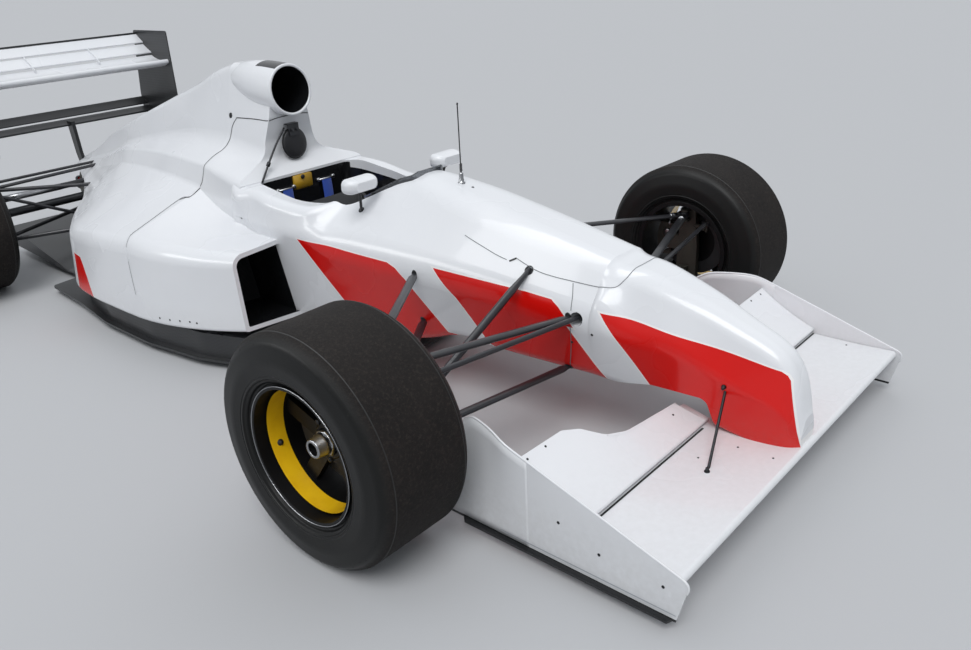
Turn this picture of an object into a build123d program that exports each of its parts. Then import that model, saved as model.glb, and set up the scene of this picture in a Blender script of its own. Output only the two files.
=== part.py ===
"""Open wheel racing car of the early 1990s, one STEP file per piece.

Millimetres. X runs across the car (+X is the driver's left), +Y towards the tail, +Z up.
Everything is drawn from the front axle line at ground level, and is moved along Y when it is
written, so that the stored origin lies on the ground under the middle of the car.
"""
import os

from build123d import *

# Driving dimensions
WHEELBASE = 2890
FRONT_HALF_TRACK = 920
REAR_HALF_TRACK = 848
FRONT_TYRE_RADIUS = 318
REAR_TYRE_RADIUS = 330
FRONT_TYRE_WIDTH = 306
REAR_TYRE_WIDTH = 400
KINGPIN_X = 828
KINGPIN_Y = 12
STEERING_ARM = 95
RACK_Y = -206
RACK_Z = 424
FRONT_WING_HALF_SPAN = 700
REAR_WING_HALF_SPAN = 500
FLOOR_Z = 28
FLOOR_THICKNESS = 10
BULKHEAD_Y = -245
POD_FRONT_Y = 1040
POD_REAR_Y = 1590
TAIL_Y = 3170
FRONT_LIMIT_Y = -862
REAR_LIMIT_Y = 3390
ORIGIN_Y = (FRONT_LIMIT_Y + REAR_LIMIT_Y) / 2

SIDES = (("right", -1), ("left", 1))


def mirrored(half):
    """Corners (x, z, radius) of one side, bottom to top, completed across the centre line."""
    return half + [(-x, z, r) for x, z, r in reversed(half)]


def cross_section(y, corners):
    """Face across the car at y, from corners (x, z, radius)."""
    wire = FilletPolyline(*[(x, z) for x, z, r in corners], radius=[r for x, z, r in corners], close=True)
    return Plane(origin=(0, y, 0), x_dir=(1, 0, 0), z_dir=(0, -1, 0)) * make_face(wire)


def side_profile(corners, x_from, x_to):
    """Outline (y, z, radius) seen from the side, given a width from x_from to x_to."""
    wire = FilletPolyline(*[(y, z) for y, z, r in corners], radius=[r for y, z, r in corners], close=True)
    face = Plane(origin=(x_from, 0, 0), x_dir=(0, 1, 0), z_dir=(1, 0, 0)) * make_face(wire)
    return extrude(face, x_to - x_from)


def plan_profile(corners, z_from, z_to):
    """Outline (x, y, radius) seen from above, given a height from z_from to z_to."""
    wire = FilletPolyline(*[(x, y) for x, y, r in corners], radius=[r for x, y, r in corners], close=True)
    return extrude(Pos(0, 0, z_from) * make_face(wire), z_to - z_from)


def block(x0, x1, y0, y1, z0, z1):
    """Plain box between two corners."""
    box = Box(x1 - x0, y1 - y0, z1 - z0)
    return Pos((x0 + x1) / 2, (y0 + y1) / 2, (z0 + z1) / 2) * box


def rod(start, end, radius):
    """Round bar between two points."""
    start, end = Vector(start), Vector(end)
    plane = Plane(origin=start, z_dir=end - start)
    return extrude(plane * Circle(radius), (end - start).length)


def blade_rod(start, end, chord, thickness):
    """Streamlined bar between two points, its chord lying along the airflow."""
    start, end = Vector(start), Vector(end)
    along = end - start
    flow = Vector(0, 1, 0)
    across = along.cross(flow)
    plane = Plane(origin=start, x_dir=across.cross(along), z_dir=along)
    return extrude(plane * Ellipse(chord / 2, thickness / 2), along.length)


def both_sides(piece):
    """The piece and its mirror image, as separate solids."""
    return [piece, mirror(piece, about=Plane.YZ)]


def wing_section(chord, thickness, sag):
    """Cambered wing section, nose at the origin, tail at +X, hollow of the camber upwards."""
    nose = thickness * 0.36
    tail = 1.5
    upper = ThreePointArc((nose, nose), (chord * 0.5, thickness * 0.42 - sag), (chord, tail))
    trailing = Line((chord, tail), (chord, -tail))
    lower = ThreePointArc((chord, -tail), (chord * 0.42, -thickness * 0.52 - sag), (nose, -nose))
    leading = ThreePointArc((nose, -nose), (0, 0), (nose, nose))
    return make_face([upper, trailing, lower, leading])


def wing_panel(nose_y, nose_z, chord, thickness, sag, angle, x_from, x_to):
    """Straight wing panel, nose at (nose_y, nose_z), tail raised by angle."""
    face = Rot(0, 0, angle) * wing_section(chord, thickness, sag)
    plane = Plane(origin=(x_from, nose_y, nose_z), x_dir=(0, 1, 0), z_dir=(1, 0, 0))
    return extrude(plane * face, x_to - x_from)


def revolved_about_x(points, radii):
    """Ring about the X axis from corners (x, r)."""
    wire = FilletPolyline(*points, radius=radii, close=True)
    return revolve(make_face(wire), Axis.X)


def export(node, shape):
    """Write one piece, moved from the front axle line to the stored origin."""
    solids = shape if isinstance(shape, list) else [shape]
    export_step(Pos(0, -ORIGIN_Y, 0) * Compound(children=[s for s in solids]), f"parts/{node}.step")


# Nose and survival cell
# Columns: y, half-width and height of the bottom, of the side and of the crown, corner radii
NOSE_ROWS = [
    (-838, (36, 130, 8), (44, 180, 24), (24, 232, 22)),
    (-812, (56, 127, 10), (62, 225, 40), (40, 330, 34)),
    (-765, (68, 128, 12), (80, 265, 60), (48, 402, 42)),
    (-640, (82, 146, 20), (98, 310, 80), (58, 463, 52)),
    (-540, (94, 170, 26), (124, 360, 90), (66, 504, 60)),
    (-426, (112, 194, 34), (150, 390, 90), (76, 541, 70)),
    (BULKHEAD_Y, (150, 222, 50), (200, 430, 110), (86, 581, 86)),
]
TUB_ROWS = [
    (BULKHEAD_Y, (150, 222, 50), (200, 430, 110), (86, 581, 86)),
    (100, (183, 226, 50), (243, 468, 120), (100, 648, 116)),
    (260, (192, 234, 50), (266, 484, 120), (100, 677, 128)),
    (395, (198, 196, 50), (284, 494, 120), (88, 700, 138)),
    (545, (210, 152, 50), (298, 502, 120), (66, 720, 142)),
    (650, (217, 128, 50), (306, 506, 110), (62, 720, 136)),
    (721, (222, 112, 48), (311, 508, 110), (64, 706, 126)),
    (790, (228, 98, 46), (316, 512, 100), (128, 652, 108)),
    (860, (236, 84, 42), (322, 514, 95), (262, 612, 56)),
    (950, (243, 74, 40), (328, 516, 90), (300, 608, 44)),
    (1100, (248, 67, 36), (328, 516, 80), (320, 624, 40)),
    (1310, (252, 60, 30), (318, 516, 60), (306, 642, 40)),
]


ROW_SPACING = 105


def slopes(stations, values):
    """Slope of a curve at each station, level where the values turn, so that it never overshoots."""
    steps = [(v1 - v0) / (s1 - s0) for s0, s1, v0, v1 in zip(stations, stations[1:], values, values[1:])]
    inner = [0 if a * b <= 0 else 2 * a * b / (a + b) for a, b in zip(steps, steps[1:])]
    return [steps[0]] + inner + [steps[-1]]


def filled_in(rows):
    """The rows with more between them, at most ROW_SPACING apart, each value running smoothly."""
    stations = [row[0] for row in rows]
    columns = list(zip(*[[value for corner in row[1:] for value in corner] for row in rows]))
    curves = [(values, slopes(stations, values)) for values in columns]
    result = []
    for number, (start, end) in enumerate(zip(stations, stations[1:])):
        span = end - start
        count = max(1, round(span / ROW_SPACING + 0.4))
        for part in range(count):
            t = part / count
            line = []
            for values, slope in curves:
                line.append(values[number] * (1 + 2 * t) * (1 - t) ** 2 + values[number + 1] * t * t * (3 - 2 * t)
                            + span * (slope[number] * t * (1 - t) ** 2 - slope[number + 1] * t * t * (1 - t)))
            corners = [tuple(line[i:i + 3]) for i in range(0, len(line), 3)]
            result.append((start + span * t, *corners))
    return result + [rows[-1]]


def body_loft(rows):
    """Smooth body through rows of (y, corner, corner, ...)."""
    return loft([cross_section(row[0], mirrored(list(row[1:]))) for row in filled_in(rows)])


# Underside of the nose behind its foot on the front wing, seen from the side: y, z, radius
BELLY_ARCH = [(-620, 100, 0), (-606, 160, 12), (-580, 240, 30), (-420, 246, 60), (-240, 216, 0), (-240, 100, 0)]


def make_nose(outer):
    """Nose cone with the arch under it and the passage of the steering rack."""
    arch = side_profile(BELLY_ARCH, -300, 300)
    return outer - arch - rod((-300, RACK_Y, RACK_Z), (300, RACK_Y, RACK_Z), 21)


def cockpit_outline(inset):
    """Edge of the cockpit opening seen from above, drawn in by the inset."""
    front, back = 542 + inset, 1257 - inset
    half = [(70, front, 44), (196, 815, 300), (243, 985, 250), (240, 1190, 200), (212, back, 24)]
    left = [(x - inset, y, r - inset) for x, y, r in half]
    return left + [(-x, y, r) for x, y, r in reversed(left)]


def make_tub(outer):
    """Survival cell: leg tunnel, cockpit opening, hollow beside the seat, passage of the steering rack."""
    cockpit = plan_profile(cockpit_outline(0), 300, 1000)
    legs = fillet(block(-112, 112, -60, 660, 300, 562).edges().filter_by(Axis.Y), 46)
    hollow = fillet(block(-206, 206, 648, 1240, 300, 556).edges().filter_by(Axis.Y), 30)
    rack = rod((-320, RACK_Y, RACK_Z), (320, RACK_Y, RACK_Z), 21)
    return outer - cockpit - legs - hollow - rack


def make_windscreen():
    """Low smoked deflector standing along the front lip of the cockpit."""
    band = plan_profile(cockpit_outline(0), 600, 800) - plan_profile(cockpit_outline(4), 600, 800)
    upper = [(147, 624), (152, 640), (118, 680), (92, 709), (56, 733)]
    lower = [(50, 704), (84, 684), (112, 652)]
    edge = upper + [(-x, z) for x, z in upper[::-1]] + [(-x, z) for x, z in lower[::-1]] + lower
    wire = Polyline(*edge, close=True)
    front_view = extrude(Plane(origin=(0, 730, 0), x_dir=(1, 0, 0), z_dir=(0, -1, 0)) * make_face(wire), 200)
    return largest(band & front_view)


# Rear bodywork
POD_WALL = 16
# Columns: y, then inner bottom, outer bottom, outer shoulder, inner top as (x, z, radius)
POD_ROWS = [
    (POD_FRONT_Y, (230, 150, 10), (510, 168, 14), (523, 462, 46), (230, 478, 10)),
    (1250, (230, 150, 10), (592, 152, 14), (596, 462, 60), (230, 490, 10)),
    (POD_REAR_Y, (230, 136, 10), (648, 136, 14), (628, 452, 80), (230, 590, 10)),
]
# Columns: y, then bottom edge, pod shoulder, foot of the deck side, deck edge, valley and crown
COVER_ROWS = [
    (POD_REAR_Y, (648, 136, 14), (628, 452, 80), (274, 576, 30), (246, 668, 24), (120, 724, 100), (46, 1034, 40)),
    (1720, (650, 135, 14), (630, 438, 80), (262, 582, 30), (232, 668, 24), (114, 724, 95), (44, 998, 38)),
    (1860, (650, 134, 14), (632, 424, 80), (250, 588, 30), (216, 666, 24), (106, 720, 90), (42, 942, 36)),
    (2083, (634, 133, 14), (612, 396, 70), (222, 582, 26), (184, 652, 22), (92, 696, 70), (38, 868, 32)),
    (2382, (505, 140, 14), (482, 372, 60), (184, 560, 22), (146, 622, 18), (74, 646, 44), (32, 770, 26)),
    (2632, (322, 180, 14), (304, 390, 50), (146, 510, 16), (112, 560, 14), (56, 588, 34), (26, 684, 20)),
    (2805, (218, 270, 10), (206, 412, 30), (110, 478, 12), (84, 512, 10), (42, 536, 20), (20, 618, 16)),
    (2990, (128, 372, 8), (120, 430, 16), (72, 464, 8), (54, 478, 6), (30, 490, 12), (14, 532, 10)),
    (TAIL_Y, (60, 424, 4), (56, 442, 6), (38, 450, 4), (28, 454, 3), (18, 457, 4), (10, 464, 3)),
]
# Columns: y, then bottom edge, foot of the deck side, deck edge, valley, head and crown
AIRBOX_ROWS = [
    (1240, (304, 470, 10), (314, 516, 30), (308, 640, 40), (132, 698, 60), (84, 880, 50), (56, 1000, 40)),
    (1440, (296, 478, 14), (292, 545, 30), (272, 656, 30), (126, 708, 80), (92, 870, 56), (50, 1036, 40)),
    (POD_REAR_Y, (284, 480, 20), (274, 576, 30), (246, 668, 24), (120, 724, 100), (90, 850, 60), (46, 1034, 40)),
]
# Columns: y, height of the middle and radius of the barrel behind the intake
BARREL_ROWS = [(1370, 948, 99), (1480, 960, 86), (POD_REAR_Y, 972, 56)]
# What is cut away in front of the hoop, seen from the side: y, z, radius
HOOP_FACE = [(1200, 440, 0), (1257, 440, 0), (1257, 634, 0), (1316, 692, 40), (1324, 760, 60), (1308, 850, 0),
             (1308, 1060, 0), (1200, 1060, 0)]
INTAKE_PLACE = (0, 1276, 946)
INTAKE_RADIUS = 97


def thinner(rows, wall, drop):
    """The same rows drawn in by the wall thickness, with the bottom dropped open."""
    result = []
    for row in rows:
        y, corners = row[0], row[1:]
        low = min(z for x, z, r in corners)
        inner = []
        for x, z, r in corners:
            lower = z < low + 30
            inner.append((x - wall if x > wall else x, z - drop if lower else z - wall, max(r - wall, 2)))
        result.append((y, *inner))
    return result


def make_pod(tub_outer):
    """Sidepod shell of the left side, open in front as the cooling inlet."""
    def shell_loft(rows):
        return loft([cross_section(row[0], list(row[1:])) for row in rows])

    inner_rows = []
    for y, low_in, low_out, shoulder, top_in in POD_ROWS:
        inner_rows.append((
            y,
            (low_in[0] - 20, low_in[1] + POD_WALL, 4),
            (low_out[0] - POD_WALL, low_out[1] + POD_WALL, 8),
            (shoulder[0] - POD_WALL, shoulder[1] - POD_WALL, shoulder[2] - POD_WALL),
            (top_in[0] - 20, top_in[1] - POD_WALL, 4),
        ))
    return largest(shell_loft(POD_ROWS) - shell_loft(inner_rows) - tub_outer)


def make_airbox():
    """Roll hoop fairing with the round engine intake above the driver."""
    fairing = body_loft(AIRBOX_ROWS)
    fairing -= side_profile(HOOP_FACE, -400, 400)
    ring_plane = Plane(origin=INTAKE_PLACE, x_dir=(1, 0, 0), z_dir=(0, -1, 0.12))
    sections = [ring_plane * Circle(INTAKE_RADIUS)]
    for y, z, radius in BARREL_ROWS:
        sections.append(Plane(origin=(0, y, z), x_dir=(1, 0, 0), z_dir=(0, -1, 0)) * Circle(radius))
    throat = loft([ring_plane * Circle(INTAKE_RADIUS - 10), ring_plane.offset(-260) * Circle(60)])
    return fairing + loft(sections) - throat


def make_cover(outer):
    """Engine cover, rear pod bodywork and tail in one shell, open below."""
    return outer - body_loft(thinner(COVER_ROWS[:6], 18, 60))


def floor_plan(inset):
    """Half plan of the floor: (x, y, radius)."""
    return [(0, 640, 0), (205 - inset, 650, 30), (262 - inset, 1000, 60), (520 - inset, 1046, 20),
            (598 - inset, 1260, 200), (640 - inset, 1560, 300), (640 - inset, 1900, 300),
            (600 - inset, 2200, 200), (575 - inset, 2540, 20)]


def make_floor(tub_outer):
    """Flat bottom, plinth under the pods and diffuser between the rear wheels."""
    half = floor_plan(0) + [(430, 2560, 20), (430, 2700, 0), (0, 2700, 0)]
    plate = plan_profile(half, FLOOR_Z, FLOOR_Z + FLOOR_THICKNESS)
    half_plinth = floor_plan(26)[3:7] + [(560, 2200, 150), (430, 2420, 40), (240, 2420, 0), (240, 1046, 0)]
    plinth = plan_profile(half_plinth, FLOOR_Z + FLOOR_THICKNESS, 134)
    ramp_profile = [(2700, FLOOR_Z, 0), (3300, 150, 0), (3300, 158, 0), (2700, FLOOR_Z + FLOOR_THICKNESS, 0)]
    ramp = side_profile(ramp_profile, 0, 430)
    floor = plate + plinth + ramp
    for x in (140, 285, 424):
        fence = [(2700, FLOOR_Z + 2, 0), (3300, 152, 0), (3300, 60, 20), (2700, FLOOR_Z, 0)]
        floor += side_profile(fence, x, x + 6)
    return [floor - tub_outer, mirror(floor - tub_outer, about=Plane.YZ)]


# Wheels
STUB_RADIUS = 20
SHAFT_PASSAGE_RADIUS = 27
DRIVE_FLANGE_RADIUS = 46
DRIVE_FLANGE_X = 122
# Columns: side of the car, axle y, half track, tyre radius, tyre width
WHEELS = [
    ("front", 0, FRONT_HALF_TRACK, FRONT_TYRE_RADIUS, FRONT_TYRE_WIDTH),
    ("rear", WHEELBASE, REAR_HALF_TRACK, REAR_TYRE_RADIUS, REAR_TYRE_WIDTH),
]


def make_tyre(radius, width):
    """Slick tyre about the X axis, outboard towards +X."""
    half = width / 2
    side = [(half - 23, 181), (half - 23, 190), (half - 4, 207), (half, 250), (half - 8, radius - 22),
            (half - 34, radius)]
    radii = [0, 2, 10, 60, 24, 30]
    profile = side + [(-x, r) for x, r in reversed(side[1:])] + [(23 - half, 176), (half - 56, 176), (half - 48, 179)]
    return revolved_about_x(profile, radii + radii[:0:-1] + [0, 0, 0])


def make_rim(width):
    """Dished rim, five spokes, hub and brake disc about the X axis, outboard towards +X."""
    half = width / 2 - 14
    barrel = [(-half, 168), (half - 46, 168), (half - 40, 174), (half, 177), (half, 186), (half - 8, 186),
              (half - 8, 181), (half - 34, 179), (half - 42, 176), (-half + 8, 176), (-half + 8, 186), (-half, 186)]
    rim = revolved_about_x(barrel, [2, 8, 4, 2, 2, 2, 0, 0, 0, 0, 2, 2])
    face_x = half - 101
    disc_x = face_x - 46
    for number in range(5):
        spoke = Pos(face_x - 7, 0, 104) * Box(22, 46, 134)
        rim += Rot(number * 72, 0, 0) * spoke
    rim += x_disc(132, disc_x - 13, disc_x + 13) + x_disc(60, disc_x, face_x + 6)
    return rim - x_disc(STUB_RADIUS + 0.05, disc_x - 20, face_x - 8), face_x


def x_disc(radius, x_from, x_to):
    """Cylinder along X."""
    return Pos((x_from + x_to) / 2, 0, 0) * Rot(0, 90, 0) * Cylinder(radius, x_to - x_from)


def make_nut(face_x):
    """Hollow hexagonal wheel nut on the hub's face."""
    nut = extrude(Plane.YZ.offset(face_x + 6) * RegularPolygon(38, 6), 44)
    return nut - extrude(Plane.YZ.offset(face_x + 20) * Circle(21), 40)


def place_wheel(shape, side, axle_y, half_track, radius):
    placed = Pos(half_track, axle_y, radius) * shape
    return placed if side > 0 else mirror(placed, about=Plane.YZ)


# Front suspension and steering
UPPER_BALL = (KINGPIN_X, KINGPIN_Y, 440)
LOWER_BALL = (KINGPIN_X, KINGPIN_Y, 206)
BALL_BOSS_RADIUS = 16
BALL_BOSS_HEIGHT = 24
PIN_RADIUS = 6


def largest(shape):
    """The biggest solid of a cut shape, without the scraps left inside what it was cut by."""
    return shape.solids().sort_by(SortBy.VOLUME)[-1]


def make_front_suspension(cutters):
    """Wishbones and pushrod of the left side, ending on the body's skin."""
    upper = blade_rod(UPPER_BALL, (150, -236, 449), 30, 18) + blade_rod(UPPER_BALL, (230, 412, 462), 30, 16)
    lower = blade_rod(LOWER_BALL, (110, -165, 244), 30, 18) + blade_rod(LOWER_BALL, (180, 430, 280), 30, 18)
    lower += rod((762, 14, 216), (190, -56, 562), 12)
    wishbones = []
    for arms, ball in ((upper, UPPER_BALL), (lower, LOWER_BALL)):
        arms += Pos(*ball) * Cylinder(BALL_BOSS_RADIUS, BALL_BOSS_HEIGHT)
        arms -= Pos(*ball) * Cylinder(PIN_RADIUS + 0.3, 60)
        for cutter in cutters:
            arms = arms - cutter
        wishbones.append(largest(arms))
    return wishbones


def make_upright(stub_end_x, disc_x):
    """Front upright of the left side: post, ball joint lugs, stub axle, caliper, steering arm."""
    inner, outer = KINGPIN_X + 20, KINGPIN_X + 42
    middle = FRONT_TYRE_RADIUS
    post = side_profile([(-36, 178, 12), (52, 178, 12), (44, middle, 40), (40, 464, 12), (-22, 464, 12),
                         (-36, middle, 40)], inner, outer)
    for x, y, z in (UPPER_BALL, LOWER_BALL):
        for edge in (z + 14, z - 24):
            post += block(x, inner + 2, y - 16, y + 16, edge, edge + 10)
            post += Pos(x, y, edge + 5) * Cylinder(16, 10)
        post += Pos(x, y, z) * Cylinder(PIN_RADIUS, 44)
    pin_y = KINGPIN_Y - STEERING_ARM
    post += rod((inner + 8, -20, RACK_Z - 26), (KINGPIN_X, pin_y, RACK_Z - 26), 9)
    post += Pos(KINGPIN_X, pin_y, RACK_Z - 12) * Cylinder(5, 48)
    stub = x_disc(STUB_RADIUS, outer - 2, stub_end_x)
    caliper = x_disc(150, outer - 2, disc_x + 23) - x_disc(96, 0, 2 * KINGPIN_X)
    caliper &= block(0, 2 * KINGPIN_X, 60, 160, -66, 66)
    caliper -= x_disc(138, disc_x - 18, disc_x + 18)
    caliper += block(inner, outer, 30, 100, -30, 30)
    return post + Pos(0, 0, middle) * (stub + caliper)


def make_track_rods():
    """Rack bar with a track rod and rod-end eye at each side, sliding across the car."""
    pin_y = KINGPIN_Y - STEERING_ARM
    bar = rod((-160, RACK_Y, RACK_Z), (160, RACK_Y, RACK_Z), 9)
    for side in (-1, 1):
        joint = (side * 160, RACK_Y, RACK_Z)
        eye = (side * KINGPIN_X, pin_y, RACK_Z)
        bar += Pos(*joint) * Sphere(11) + rod(joint, eye, 8) + Pos(*eye) * Cylinder(19, 14)
        bar -= Pos(*eye) * Cylinder(10, 40)
    return bar


def make_steering_wheel():
    """Wheel rim, three spokes and the column's upper end, tilted towards the driver."""
    rim = Torus(118, 12)
    for angle in (0, 90, 180):
        rim += Rot(0, 0, angle) * Pos(61, 0, 0) * Box(106, 26, 5)
    rim += Cylinder(34, 26)
    rim += Pos(0, 0, -110) * Cylinder(12, 200)
    return STEERING_PLACE * rim


STEERING_PLACE = Pos(0, 716, 548) * Rot(-72, 0, 0)

# Front wing
# Plan of the left flap, its trailing edge cut away towards the nose: x, y, radius
FLAP_PLAN = [(60, -640, 0), (700, -640, 0), (700, -378, 0), (508, -382, 36), (452, -402, 40), (396, -448, 60),
             (330, -470, 80), (60, -494, 0)]


def make_front_mainplane():
    return wing_panel(-852, 138, 290, 34, 10, 1, -FRONT_WING_HALF_SPAN + 2, FRONT_WING_HALF_SPAN - 2)


def make_front_flap(nose):
    """Flap of the left side with its curved trailing edge cut in plan."""
    flap = wing_panel(-575, 154, 236, 20, 12, 30, 60, FRONT_WING_HALF_SPAN - 2)
    return flap & plan_profile(FLAP_PLAN, 100, 320) - nose


# Rear part of the left end plate: y, then x and z of its top edge, which leans inboard
ENDPLATE_TWIST = [(-420, 700, 272), (-350, 696, 297), (-277, 668, 311), (-200, 640, 304), (-150, 624, 278)]


def make_front_endplate():
    """End plate of the left side: straight front, foot strip and twisted rear part."""
    inner = FRONT_WING_HALF_SPAN
    outer = inner + 6
    outline = [(FRONT_LIMIT_Y, 28, 0), (-420, 28, 0), (-420, 272, 0), (-830, 122, 20), (FRONT_LIMIT_Y, 106, 16)]
    plate = side_profile(outline, inner, outer)
    rows = [cross_section(y, [(inner, 28, 0), (outer, 28, 0), (top_x + 6, top_z, 0), (top_x, top_z, 0)])
            for y, top_x, top_z in ENDPLATE_TWIST]
    foot = plan_profile([(outer - 1, -855, 0), (724, -845, 6), (724, -220, 10), (outer - 1, -200, 0)], 28, 34)
    return plate + loft(rows) + foot


# Cockpit fittings
def make_headrest():
    """Round pad on a bracket in front of the roll hoop fairing."""
    pad = Pos(0, 1296, 738) * Rot(84, 0, 0) * extrude(Ellipse(57, 60), 14, both=True)
    pad = fillet(pad.edges(), 12)
    return pad + block(-26, 26, 1300, 1330, 744, 806)


def make_seat():
    """Moulded bucket: base and back in one bent shell between two side walls."""
    shell = [(700, 302, 0), (1010, 302, 60), (1166, 530, 0), (1146, 538, 0), (1000, 322, 60), (700, 322, 0)]
    wall = [(700, 304, 0), (1010, 304, 60), (1166, 530, 0), (1130, 524, 50), (1010, 430, 100), (720, 372, 20)]
    seat = side_profile(shell, -186, 186)
    return seat + side_profile(wall, 172, 186) + side_profile(wall, -186, -172)


def make_belts():
    """Two shoulder straps from the bulkhead over the top of the seat and down its back."""
    strap = [(1012, 338, 0), (1154, 545, 0), (1256, 574, 0), (1256, 579, 0), (1151, 551, 0), (1006, 341, 0)]
    return both_sides(side_profile(strap, 76, 124))


def make_mirror(tub_outer):
    """Mirror pod of the left side on a thin stalk by the cockpit's edge."""
    sections = []
    for y, width, height, radius in ((636, 88, 30, 13), (656, 128, 46, 20), (690, 132, 50, 20)):
        plane = Plane(origin=(212, y, 706), x_dir=(1, 0, 0), z_dir=(0, -1, 0))
        sections.append(plane * RectangleRounded(width, height, radius))
    return largest(loft(sections) + rod((190, 704, 590), (216, 672, 700), 5) - tub_outer)


def make_antenna():
    """Whip on a turned base ahead of the windscreen."""
    base = Pos(0, 400, 702) * Cylinder(7, 24) + Pos(0, 400, 722) * Cylinder(4, 24)
    return base + Pos(0, 400, 840) * Cylinder(2, 250)


def make_wing_stay(nose_outer, mainplane):
    """Thin stay from the side of the nose to the front wing."""
    return largest(rod((70, -628, 300), (285, -690, 130), 4) - nose_outer - mainplane)


def make_radiator(tub_outer):
    """Radiator core of the left side, set across the duct behind the inlet."""
    core = plan_profile([(240, 1290, 0), (574, 1350, 0), (574, 1400, 0), (240, 1340, 0)], 166, 436)
    return largest(core - tub_outer)


def make_engine():
    """Plain block with the size and place of a twelve cylinder engine."""
    rows = [(y, (190, 60, 20), (205, 300, 20), (130, 440, 30)) for y in (1640, 2360)]
    return body_loft(rows)


def make_rain_light(gearbox):
    return fillet(block(-45, 45, 3222, 3262, 284, 346).edges().filter_by(Axis.Y), 14) - gearbox


def make_pylon():
    """Single pylon from the gearbox's tail up to the lower rear wing."""
    return side_profile([(3184, 352, 0), (3228, 352, 0), (3268, 470, 60), (3296, 642, 0), (3240, 642, 0),
                         (3222, 480, 60)], -9, 9)


# Rear wing and running gear behind the cockpit
def make_rear_endplate():
    outline = [(2990, 570, 40), (3080, 540, 30), (3330, 560, 60), (REAR_LIMIT_Y, 640, 30), (REAR_LIMIT_Y, 710, 60),
               (3338, 1060, 12), (2994, 1064, 12)]
    return side_profile(outline, REAR_WING_HALF_SPAN - 6, REAR_WING_HALF_SPAN)


def make_gearbox():
    rows = [(2450, (110, 90, 10), (150, 250, 40), (96, 400, 30)),
            (2900, (90, 140, 10), (112, 260, 40), (70, 392, 30)),
            (3230, (42, 226, 10), (52, 300, 20), (30, 380, 14))]
    case = body_loft(rows)
    case += Pos(0, 3212, 180) * x_disc(10, -84, 84) + block(-48, 48, 3196, 3228, 168, 240)
    case += Pos(0, WHEELBASE, REAR_TYRE_RADIUS) * x_disc(DRIVE_FLANGE_RADIUS, -DRIVE_FLANGE_X, DRIVE_FLANGE_X)
    socket = Plane(origin=(0, 3170, 262), z_dir=(0, 1, 0)) * Circle(16)
    return case - extrude(socket, 80)


# Rods of the left side: end at the upright, end at the gearbox or bodywork, radius
REAR_RODS = [
    ((652, 2880, 462), (180, 2690, 420), 9),
    ((652, 2880, 462), (60, 2892, 470), 8),
    ((652, 2944, 474), (60, 2950, 474), 7),
    ((652, 2930, 392), (60, 2930, 392), 15),
    ((652, 2870, 214), (130, 2600, 232), 10),
    ((652, 2870, 214), (60, 3080, 236), 10),
    ((652, 2846, 456), (130, 2846, 200), 8),
]


def make_rear_suspension(cutters):
    """Wishbones, toe link and pull rod of the left side, from gearbox or bodywork to the upright."""
    pieces = []
    for start, end, radius in REAR_RODS:
        piece = rod(start, end, radius)
        for cutter in cutters:
            piece = piece - cutter
        pieces.append(largest(piece))
    linkage = pieces[0]
    for piece in pieces[1:]:
        linkage = linkage + piece
    return linkage.solids()


def make_rear_upright():
    post = side_profile([(WHEELBASE - 60, 190, 20), (WHEELBASE + 110, 230, 20), (WHEELBASE + 70, 330, 40),
                         (WHEELBASE + 20, 478, 12), (WHEELBASE - 60, 478, 12), (WHEELBASE - 70, 330, 40)],
                        640, 690)
    return post - Pos(0, WHEELBASE, REAR_TYRE_RADIUS) * x_disc(SHAFT_PASSAGE_RADIUS, 600, 720)


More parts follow.
